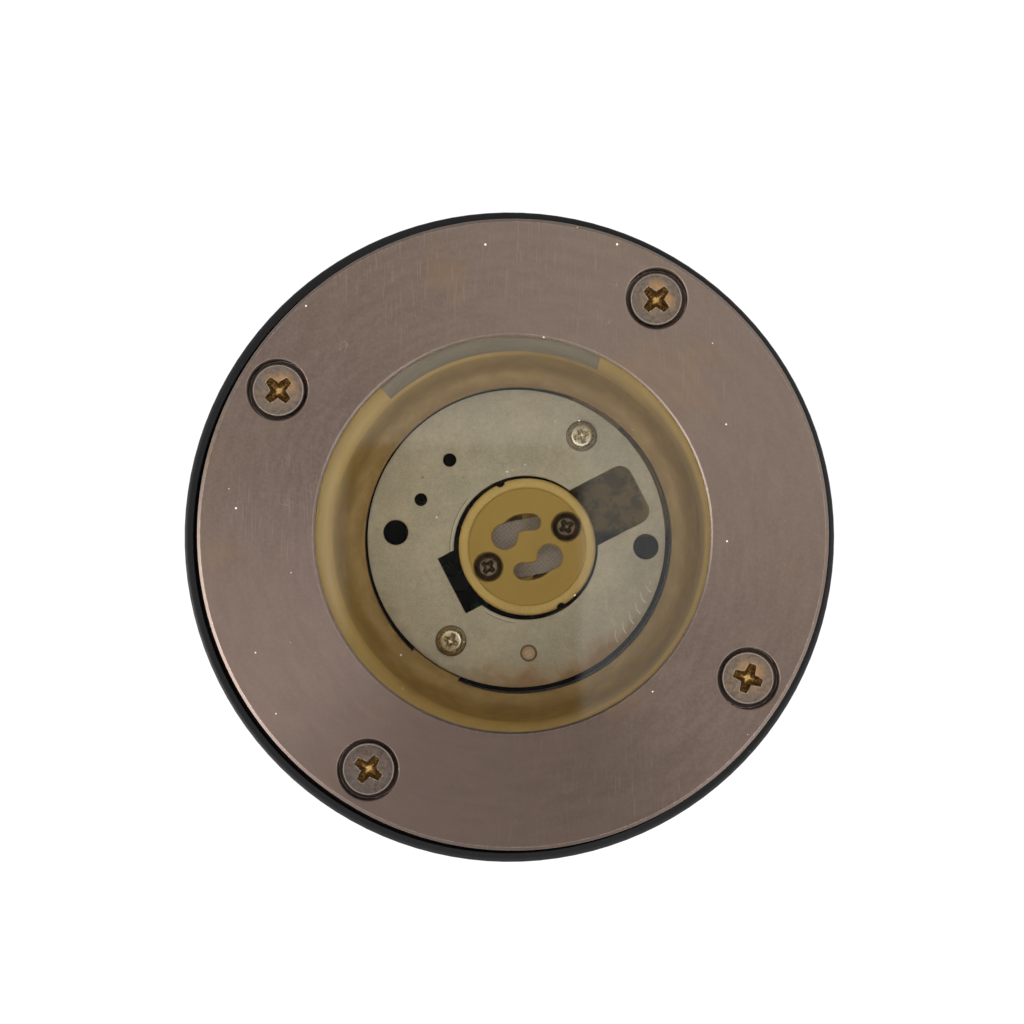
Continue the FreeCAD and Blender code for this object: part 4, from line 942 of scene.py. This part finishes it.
def clear_glass():
    """Polished glass with a few specks of dust. It lets the light through to what lies under."""
    finish = Finish("clear_glass", Transmission_Weight=1.0, IOR=1.5, Roughness=0.0)
    tree = finish.tree
    smear = noise(finish.place, 60.0, 3.0)
    finish.feed("Base Color", mixed(smear, (0.955, 0.96, 0.945, 1), (0.98, 0.98, 0.97, 1)))
    specks = laid(DUST, finish.place, 230.0, 1.0, 0.04)
    clear = source(tree, "ShaderNodeBsdfTransparent", Color=(0.93, 0.935, 0.92, 1))
    shadow = source(tree, "ShaderNodeLightPath", "Is Shadow Ray")
    glass = Value(finish.shader.outputs[0])
    either = made("ShaderNodeMixShader", {0: shadow, 1: glass, 2: clear})
    pale = source(tree, "ShaderNodeBsdfDiffuse", Color=srgb(225, 215, 205))
    shown(tree, made("ShaderNodeMixShader", {0: specks, 1: either, 2: pale}))
    return finish.material


def shown(tree, surface):
    """Makes a shader the surface that the material shows."""
    tree.links.new(surface.socket, tree.nodes["Material Output"].inputs["Surface"])


# ---- Pieces of the cover ----
def face_ring(finish):
    """The bronze cover: a machined ring with a lip over the glass and four counterbores."""
    ring = lathe("face_ring", [
        (LENS_RECESS_RADIUS, cover_bottom, FACE_EDGE),
        (face_radius, cover_bottom, COVER_FOOT_EDGE),
        (face_radius, face_top - FACE_CHAMFER, FACE_EDGE),
        (face_radius - FACE_CHAMFER, face_top, FACE_EDGE),
        (OPENING_RADIUS + OPENING_CHAMFER, face_top, FACE_EDGE),
        (OPENING_RADIUS, face_top - OPENING_CHAMFER, FACE_EDGE),
        (OPENING_RADIUS, face_top - LIP_THICKNESS, FACE_EDGE),
        (LENS_RECESS_RADIUS, face_top - LIP_THICKNESS, LENS_RECESS_EDGE)],
        FIXTURE_AXIS, 3)
    bore = mouth_levels(circle(COUNTERBORE_RADIUS), COUNTERBORE_FLOOR, face_top,
                        COUNTERBORE_MOUTH)
    tools = []
    for corner in COVER_SCREWS:
        place = axis_of("cover_screw_" + corner)
        tools.append(stack("counterbore", bore, place))
        tools.append(rod("shank_hole", circle(SHANK_HOLE_RADIUS, 48), cover_bottom - PAST,
                         COUNTERBORE_FLOOR + PAST, place))
    dressed(cut(ring, tools), "cover", "aged_bronze", finish, "faceplate")


def glass_disc(finish):
    glass = lathe("glass_disc", [
        (0, glass_bottom), (glass_radius, glass_bottom, GLASS_CHAMFER),
        (glass_radius, glass_top, GLASS_CHAMFER), (0, glass_top)], FIXTURE_AXIS, 4)
    dressed(glass, "cover", "clear_glass", finish, "lens")


def threaded_shank(start, tip, place):
    """A round shank with a right-hand thread that fades out at its tip."""
    steps = 48
    rings_per_turn = 8
    count = int((start - tip) / (SCREW_PITCH / rings_per_turn))
    depth = SCREW_CREST_RADIUS - SCREW_ROOT_RADIUS
    points = []
    for level in range(count + 1):
        height = start - (start - tip) * level / count
        fade = min(1.0, (height - tip) / SCREW_PITCH)
        for step in range(steps):
            phase = (height / SCREW_PITCH - step / steps) % 1.0
            ridge = 1 - abs(2 * phase - 1)
            radius = SCREW_ROOT_RADIUS - 0.3 * (1 - fade) + depth * ridge * fade
            points.append((*turned_point(radius, 360 * step / steps), height))
    return skinned("shank", points, steps, place)


def cover_screw(corner, turn, finish):
    name = corner + "_cover_screw"
    node = "cover_screw_" + corner
    place = axis_of(node)
    top = high(node).z
    bottom = top - SCREW_HEAD_HEIGHT
    head = lathe(name, [
        (0, bottom), (SCREW_HEAD_RADIUS, bottom, 0.1), (SCREW_HEAD_RADIUS, top, SCREW_HEAD_EDGE),
        (0, top)], place, 6, SMALL_STEPS)
    cut(head, [cross_cutter(top, CROSS_REACH, turn, place)])
    shank = threaded_shank(bottom + 0.2, low(node).z, place)
    screw = gathered(name, [head, shank])
    dressed(screw, "screw_" + corner, "aged_bronze_screw", finish, node)


# ---- Pieces seen through the glass ----
def plate_screw_at(side):
    """Where one of the plate's screws stands from the plate's axis."""
    return turned_point(PLATE_SCREW_CIRCLE, PLATE_SCREW_ANGLE + side)


def holder_screw_at(side):
    return turned_point(HOLDER_SCREW_CIRCLE, SLOT_ANGLE + side)


def socket_plate(finish):
    plate = lathe("zinc_socket_plate", [
        (0, plate_bottom), (plate_radius, plate_bottom, SHEARED_EDGE),
        (plate_radius, plate_top, SHEARED_EDGE), (0, plate_top)], PLATE_AXIS, 3, 240)
    slot = outline([
        (SLOT_INNER_END, -SLOT_HALF_WIDTH), (SLOT_OUTER_END, -SLOT_HALF_WIDTH, SLOT_CORNER),
        (SLOT_OUTER_END, SLOT_HALF_WIDTH, SLOT_CORNER), (SLOT_INNER_END, SLOT_HALF_WIDTH)], 8)
    openings = [circle(SOCKET_HOLE_RADIUS, 180, SOCKET_HOLE), spun(slot, SLOT_ANGLE, SOCKET_HOLE)]
    for angle, distance, radius in PUNCHED_HOLES:
        openings.append(circle(radius, 48, turned_point(distance, angle)))
    openings += [circle(PLATE_SCREW_HOLE_RADIUS, 36, plate_screw_at(side)) for side in SIDES]
    openings.append(circle(RIVET_HOLE_RADIUS, 36, turned_point(RIVET_CIRCLE, RIVET_ANGLE)))
    cut(plate, [stack("opening", through_levels(points, plate_bottom, plate_top, SHEARED_EDGE),
                      PLATE_AXIS) for points in openings])
    dressed(plate, "fixture", "zinc_plate", finish, "socket_plate")


def small_screw(node, head_corners, facets, reach, turn, place, arm):
    """A turned head with a driver's recess, and its plain shank."""
    top = high(node).z
    bottom = low(node).z
    under_head = top - SMALL_HEAD_HEIGHT
    head = lathe("head", [(0, under_head), *head_corners, (0, top)], place, facets, 64)
    cut(head, [cross_cutter(top, reach, turn, place, arm)])
    shank = lathe("shank", [
        (0, bottom), (SMALL_SHANK_RADIUS, bottom, 0.3),
        (SMALL_SHANK_RADIUS, under_head + SHANK_OVERLAP), (0, under_head + SHANK_OVERLAP)],
        place, 3, 48)
    return [head, shank]


def screw_pair(name, slot, finish, node, axis, stands, corners, facets, reach, arm):
    """Two screws of one kind as one piece."""
    parts = []
    for stand, turn in stands:
        parts += small_screw(node, corners, facets, reach, turn, axis + stand.to_3d(), arm)
    dressed(gathered(name, parts), "fixture", slot, finish, node)


def plate_screws(finish):
    top = high("plate_screws").z
    screw_pair("pan_head_screws", "bright_zinc", finish, "plate_screws", PLATE_AXIS,
               ((plate_screw_at(0), 20.0), (plate_screw_at(180), 65.0)),
               [(PAN_HEAD_RADIUS, top - SMALL_HEAD_HEIGHT, 0.15),
                (PAN_HEAD_RADIUS - 0.05, top - 0.1, 0.85)], 7, 1.6, 0.23)


def holder_screws(finish):
    top = high("lampholder_screws").z
    screw_pair("holder_screws", "dark_steel", finish, "lampholder_screws", HOLDER_AXIS,
               ((holder_screw_at(180), 30.0 + SLOT_ANGLE), (holder_screw_at(0), 5.0 + SLOT_ANGLE)),
               [(HOLDER_HEAD_RADIUS, top - SMALL_HEAD_HEIGHT, 0.1),
                (HOLDER_HEAD_RADIUS - 0.02, top - 0.75, 0.3), (HOLDER_HEAD_CROWN, top, 0.2)],
               5, 1.5, 0.28)


def lock_washers(finish):
    """Washers with twisted inner teeth."""
    parts = []
    top = high("plate_lock_washers").z
    bottom = low("plate_lock_washers").z
    gap = outline([(1.4, -0.16), (2.45, -0.2, 0.15), (2.45, 0.2, 0.15), (1.4, 0.16)], 3)
    for side in SIDES:
        place = PLATE_AXIS + plate_screw_at(side).to_3d()
        washer = lathe("washer", [
            (WASHER_INNER, bottom, 0.05), (WASHER_OUTER, bottom, 0.12),
            (WASHER_OUTER, top, 0.2), (WASHER_INNER, top, 0.05)], place, 3, 80)
        gaps = []
        for tooth in range(WASHER_TEETH):
            angle = 360 // WASHER_TEETH * tooth
            gaps.append(stack("gap", [(spun(gap, angle - WASHER_TWIST), bottom - PAST),
                                      (spun(gap, angle + WASHER_TWIST), top + PAST)], place))
        parts.append(cut(washer, gaps))
    dressed(gathered("toothed_washers", parts), "fixture", "dark_steel", finish,
            "plate_lock_washers")


def keyhole():
    """One pin entry and its locking slot, as an outline round the lampholder's axis."""
    inner = PIN_CIRCLE - PIN_SLOT_HALF
    outer = PIN_CIRCLE + PIN_SLOT_HALF
    steps = 12
    entry_centre = turned_point(PIN_CIRCLE, PIN_ENTRY_ANGLE)

    def meets(edge):
        """The angle at which the slot's edge runs into the round entry."""
        cosine = (edge ** 2 + PIN_CIRCLE ** 2 - PIN_ENTRY_RADIUS ** 2) / (2 * edge * PIN_CIRCLE)
        return PIN_ENTRY_ANGLE - math.degrees(math.acos(cosine))

    def entry_turn(edge):
        """The same place as an angle round the entry."""
        way = turned_point(edge, meets(edge)) - entry_centre
        return math.degrees(math.atan2(way.y, way.x))

    first = entry_turn(outer)
    last = entry_turn(inner)
    while last < first:
        last += 360
    points = arc(PIN_SLOT_HALF, PIN_LOCK_ANGLE + 180, PIN_LOCK_ANGLE + 360, steps // 2,
                 turned_point(PIN_CIRCLE, PIN_LOCK_ANGLE))
    points += arc(outer, PIN_LOCK_ANGLE, meets(outer), steps)[1:-1]
    points += arc(PIN_ENTRY_RADIUS, first, last, steps, entry_centre)
    points += arc(inner, meets(inner), PIN_LOCK_ANGLE, steps)[1:-1]
    return points


def ceramic_lampholder(finish):
    face = holder_top - HOLDER_FACE_DEPTH
    room_top = face - HOLDER_FRONT_WALL
    body = lathe("ceramic_lampholder", [
        (0, holder_seat), (HOLDER_RADIUS, holder_seat, 0.3),
        (HOLDER_RADIUS, holder_top, HOLDER_EDGE), (HOLDER_FACE_RADIUS + 0.25, holder_top, 0.5),
        (HOLDER_FACE_RADIUS, face, 0.25), (0, face)], HOLDER_AXIS, 6, 200)
    tools = []
    posts = []
    for side in SIDES:
        centre = holder_screw_at(side)
        slot = mouth_levels(spun(keyhole(), side), room_top - PAST, face, MOULDED_MOUTH)
        bore = mouth_levels(circle(HOLDER_SCREW_BORE, 64, centre),
                            face - HOLDER_SCREW_BORE_DEPTH, face, MOULDED_MOUTH)
        tools.append(stack("keyhole", slot, HOLDER_AXIS))
        tools.append(stack("bore", bore, HOLDER_AXIS))
        tools.append(rod("screw_hole", circle(HOLDER_SCREW_HOLE_RADIUS, 32, centre),
                         holder_seat - PAST, face - 1.0, HOLDER_AXIS))
        posts.append(rod("post", circle(HOLDER_POST_RADIUS, 48, centre), holder_seat - 2 * PAST,
                         room_top + PAST, HOLDER_AXIS))
    for angle in RIM_NOTCH_ANGLES:
        notch = circle(RIM_NOTCH_RADIUS, 32, turned_point(RIM_NOTCH_CIRCLE, angle))
        tools.append(stack("notch", [
            (notch, holder_seat - PAST), (notch, holder_top - RIM_NOTCH_MOUTH),
            (grown(notch, RIM_NOTCH_MOUTH), holder_top + 0.2)], HOLDER_AXIS))
    cavity = rod("room", circle(HOLDER_CAVITY_RADIUS, 96), holder_seat - PAST, room_top,
                 HOLDER_AXIS)
    cut(body, tools + [cut(cavity, posts)])
    dressed(body, "fixture", "tan_ceramic", finish, "lampholder_body")


def woven_cloth_pad(finish):
    """A disc of woven cloth, cut to clear the lampholder's two posts."""
    cell = WEAVE_PITCH / 4
    reach = HOLDER_CAVITY_RADIUS - PAD_CLEARANCE
    count = int(2 * reach / cell) + 2
    posts = [holder_screw_at(side) for side in SIDES]
    trim_way = turned_point(1, PAD_TRIM_ANGLE)
    places = [((column - count / 2) * cell, (row - count / 2) * cell)
              for row in range(count) for column in range(count)]
    faces = []
    for row in range(count - 1):
        for column in range(count - 1):
            first = row * count + column
            centre = Vector(places[first]) + Vector((cell, cell)) / 2
            clear = all((centre - post).length > HOLDER_POST_RADIUS + PAD_POST_CLEARANCE
                        for post in posts)
            trimmed = abs(centre.dot(trim_way)) < PAD_TRIM_HALF
            if centre.length < reach - cell and clear and trimmed:
                faces.append((first, first + 1, first + count + 1, first + count))
    used = sorted({index for face in faces for index in face})
    order = {index: position for position, index in enumerate(used)}
    points = []
    for x, y in (places[index] for index in used):
        wave = math.sin(math.pi * x / WEAVE_PITCH) * math.sin(math.pi * y / WEAVE_PITCH)
        points.append((x, y, pad_top - WEAVE_LIFT + WEAVE_LIFT * wave))
    faces = [tuple(order[index] for index in face) for face in faces]
    pad = make_piece("woven_cloth_pad", points, faces, HOLDER_AXIS)
    thick = pad.modifiers.new("thickness", "SOLIDIFY")
    thick.thickness = (pad_top - pad_bottom - 2 * WEAVE_LIFT) * MM
    thick.offset = -1.0
    dressed(applied(pad), "fixture", "woven_pad", finish, "insulating_pad")


# ---- The rest keeps its own shape ----
def paint(finish, *nodes):
    for node in nodes:
        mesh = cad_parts[node].data
        mesh.materials.clear()
        mesh.materials.append(finish)


def build_object():
    brass = turned_brass(FIXTURE_AXIS)
    bright = plain_finish("bright_zinc", (300.0, 1800.0), ((212, 204, 182), (188, 172, 140)),
                          (0.18, 0.14), (0.12, 0.02), Metallic=1.0)
    # Its pale edges are partly wear, partly painted glints.
    steel = plain_finish("dark_steel", (380.0, 2200.0), ((124, 108, 86), (100, 86, 68)),
                         (0.28, 0.2), (0.2, 0.02), (0.0002, 2000.0, 0.9, (224, 208, 180)),
                         Metallic=1.0)
    blackened_and_shaded = plain_finish("blackened_steel_and_shade", (90.0, 900.0), ((38, 37, 36), (50, 46, 42)),
                               (0.4, 0.2), (0.15, 0.03), (0.0003, 900.0, 0.5, (120, 114, 104)),
                               Metallic=0.6)
    silicone = plain_finish("black_silicone", (90.0, 1200.0), ((34, 34, 34), (46, 45, 44)),
                            (0.55, 0.15), (0.15, 0.03), masks=(1, 0, 1))
    foil = plain_finish("silver_foil", (130.0, 900.0), ((148, 142, 130), (136, 130, 118)),
                        (0.38, 0.15), (0.25, 0.1), masks=(0, 1, 0), Metallic=0.4)
    ceramic = tan_ceramic()

    face_ring(aged_bronze())
    glass_disc(clear_glass())
    for corner, (turn, *aging) in COVER_SCREWS.items():
        cover_screw(corner, turn, bronze_screw(corner, *aging))
    socket_plate(zinc_sheet())
    plate_screws(bright)
    lock_washers(steel)
    ceramic_lampholder(ceramic)
    woven_cloth_pad(woven_pad())
    holder_screws(steel)

    paint(black_plastic(), "ground_sleeve")
    paint(cast_brass(FIXTURE_AXIS), "lamp_can", "wiring_well")
    paint(brass, "gland_body", "gland_nut", "lampholder_contacts")
    paint(silicone, "flange_gasket", "well_gasket", "lens_gasket", "gland_washer", "gland_seal")
    paint(foil, "blank_label")
    paint(steel, "well_screws")
    paint(ceramic, "lampholder_base")
    # A near-black finish that also stands in for the shade under the plate.
    paint(blackened_and_shaded, "lampholder_cradle", "terminal_clamp_screws", "terminal_block_screw")
    paint(rivet_zinc(axis_of("ground_rivet"), half_width("ground_rivet")), "ground_rivet")
    paint(bright, "ground_terminal")
    # The terminal block is painted near black as painted shade inside the well.
    paint(moulded_nylon("black_nylon", (40, 40, 40), (50, 49, 48)), "terminal_block")
    paint(moulded_nylon("white_nylon", (226, 224, 218), (208, 204, 196)), "screw_seal_washers")
    paint(moulded_nylon("green_insulation", (34, 118, 56), (26, 96, 46)), "lead_ground")
    paint(braided_sleeving(), "lead_live", "lead_neutral")


# ---- Camera, floor and light ----
CAMERA_PLACE = Vector((0.00755, -0.00765, 0.657))
CAMERA_FORWARD = Vector((-0.0136, 0.02363, -1.0))
CAMERA_LENS = 98.2
WINDOW_SIDE = Vector((-0.93, -0.33, 0.12))
NEAR_LEFT = Vector((-0.45, -0.45, 0.77))
FLOOR_REACH = 2.5
CARD_CORNERS = [(-67.5, -120.0, 9), (18.5, -120.0, 9), (18.5, 40.8, 9), (-67.5, 40.8, 9)]
CARD_LAYERS = 7
CARD_SPREAD = 1.6               # how far the outer layers' rims stand from the middle one's


def linked(name, data):
    thing = bpy.data.objects.new(name, data)
    bpy.context.scene.collection.objects.link(thing)
    return thing


def add_camera():
    """The photograph's camera: almost straight down over the cover."""
    data = bpy.data.cameras.new("camera")
    data.lens = CAMERA_LENS
    data.sensor_width = 36.0
    camera = linked("camera", data)
    forward = CAMERA_FORWARD.normalized()
    right = forward.cross(Vector((0, 1, 0))).normalized()
    turn = Matrix((right, right.cross(forward), -forward)).transposed().to_4x4()
    camera.matrix_world = Matrix.Translation(CAMERA_PLACE) @ turn
    bpy.context.scene.camera = camera


def add_floor():
    """A pale floor that shows white, keeps the object's shadow and is open from below."""
    mesh = bpy.data.meshes.new("floor")
    reach = FLOOR_REACH
    mesh.from_pydata([(-reach, -reach, 0), (reach, -reach, 0), (reach, reach, 0),
                      (-reach, reach, 0)], [], [(0, 1, 2, 3)])
    material = bpy.data.materials.new("pale_floor")
    material.use_nodes = True
    tree = material.node_tree
    tree.nodes.remove(tree.nodes["Principled BSDF"])
    camera, mirror, glass = [source(tree, "ShaderNodeLightPath", "Is %s Ray" % kind)
                             for kind in ("Camera", "Glossy", "Transmission")]
    direct = calc("MAXIMUM", calc("MAXIMUM", camera, mirror), glass)
    matt = source(tree, "ShaderNodeBsdfDiffuse", Color=(0.86, 0.86, 0.86, 1))
    white = source(tree, "ShaderNodeEmission", Color=(1, 1, 1, 1))
    above = made("ShaderNodeMixShader", {0: direct * 0.78, 1: matt, 2: white})
    under = source(tree, "ShaderNodeNewGeometry", "Backfacing")
    clear = source(tree, "ShaderNodeBsdfTransparent")
    shown(tree, made("ShaderNodeMixShader", {0: under, 1: above, 2: clear}))
    mesh.materials.append(material)
    linked("floor", mesh)


def low_glow(way, bearing, strength):
    """A bright patch low in the surround, which the cover's thin bevels mirror as a line."""
    return ramped(dot(way, turned_point(1, bearing).to_3d()), 0.88, 0.97, 0.0, strength)


def add_world():
    """A soft surround, dim straight above where the camera stands, dimmer at the back and
    brighter low on the left. It shows as white behind the object."""
    world = bpy.data.worlds.new("surround")
    bpy.context.scene.world = world
    world.use_nodes = True
    tree = world.node_tree
    way = source(tree, "ShaderNodeTexCoord", "Generated")
    x, y, height = split(way)
    front = ramped(y, 0.02, -0.3) * ramped(height, 0.8, 0.95)
    level = ramped(height, 0.0, 0.45, 0.7, 1.75)
    for change in (ramped(height, 0.94, 0.993, 0.0, -1.12),
                   front * -0.3,
                   ramped(y, 0.05, 0.6, 0.0, -0.75),
                   ramped(x, 0.1, 0.6, 0.0, 0.7),
                   ramped(dot(way, WINDOW_SIDE.normalized()), 0.3, 1.0, 0.0, 0.7),
                   ramped(dot(way, NEAR_LEFT.normalized()), 0.75, 1.0, 0.0, 0.6),
                   low_glow(way, 193.0, 3.0),
                   low_glow(way, 318.0, 3.0)):
        level = level + change
    camera = source(tree, "ShaderNodeLightPath", "Is Camera Ray")
    colour = mixed(camera, joined(level, level, level * 0.985), (1, 1, 1, 1))
    tree.links.new(colour.socket, tree.nodes["Background"].inputs["Color"])


def add_window():
    """A wide soft lamp low on the left."""
    data = bpy.data.lights.new("window", "AREA")
    data.shape = "RECTANGLE"
    data.size = 0.8
    data.size_y = 0.3
    data.energy = 7.0
    data.color = (1.0, 0.985, 0.96)
    lamp = linked("window", data)
    lamp.location = (-0.85, -0.31, 0.17)
    aim = Vector((0, 0, 0.15)) - lamp.location
    lamp.rotation_euler = aim.to_track_quat("-Z", "Y").to_euler()
    lamp.visible_camera = False


def add_dark_card():
    """A dark card beside the camera, which the glass mirrors. Its layers fade its edge."""
    corners = outline(CARD_CORNERS, 6)
    for layer in range(CARD_LAYERS):
        rim = grown(corners, CARD_SPREAD * (2 * layer / (CARD_LAYERS - 1) - 1))
        height = CAMERA_PLACE.z / MM + 3 + layer * 0.1
        mesh = bpy.data.meshes.new("dark_card")
        mesh.from_pydata([Vector((point.x, point.y, height)) * MM for point in rim], [],
                         [tuple(range(len(rim)))])
        material = bpy.data.materials.new("dark_card")
        material.use_nodes = True
        shader = material.node_tree.nodes["Principled BSDF"]
        shader.inputs["Base Color"].default_value = (0.015, 0.014, 0.013, 1)
        shader.inputs["Alpha"].default_value = 1 / (layer + 1)
        mesh.materials.append(material)
        card = linked("dark_card", mesh)
        card.visible_camera = False
        card.visible_diffuse = False
        card.visible_shadow = False


build_object()
add_camera()
add_floor()
add_world()
add_dark_card()
add_window()
scene = bpy.context.scene
scene.view_settings.view_transform = "Standard"
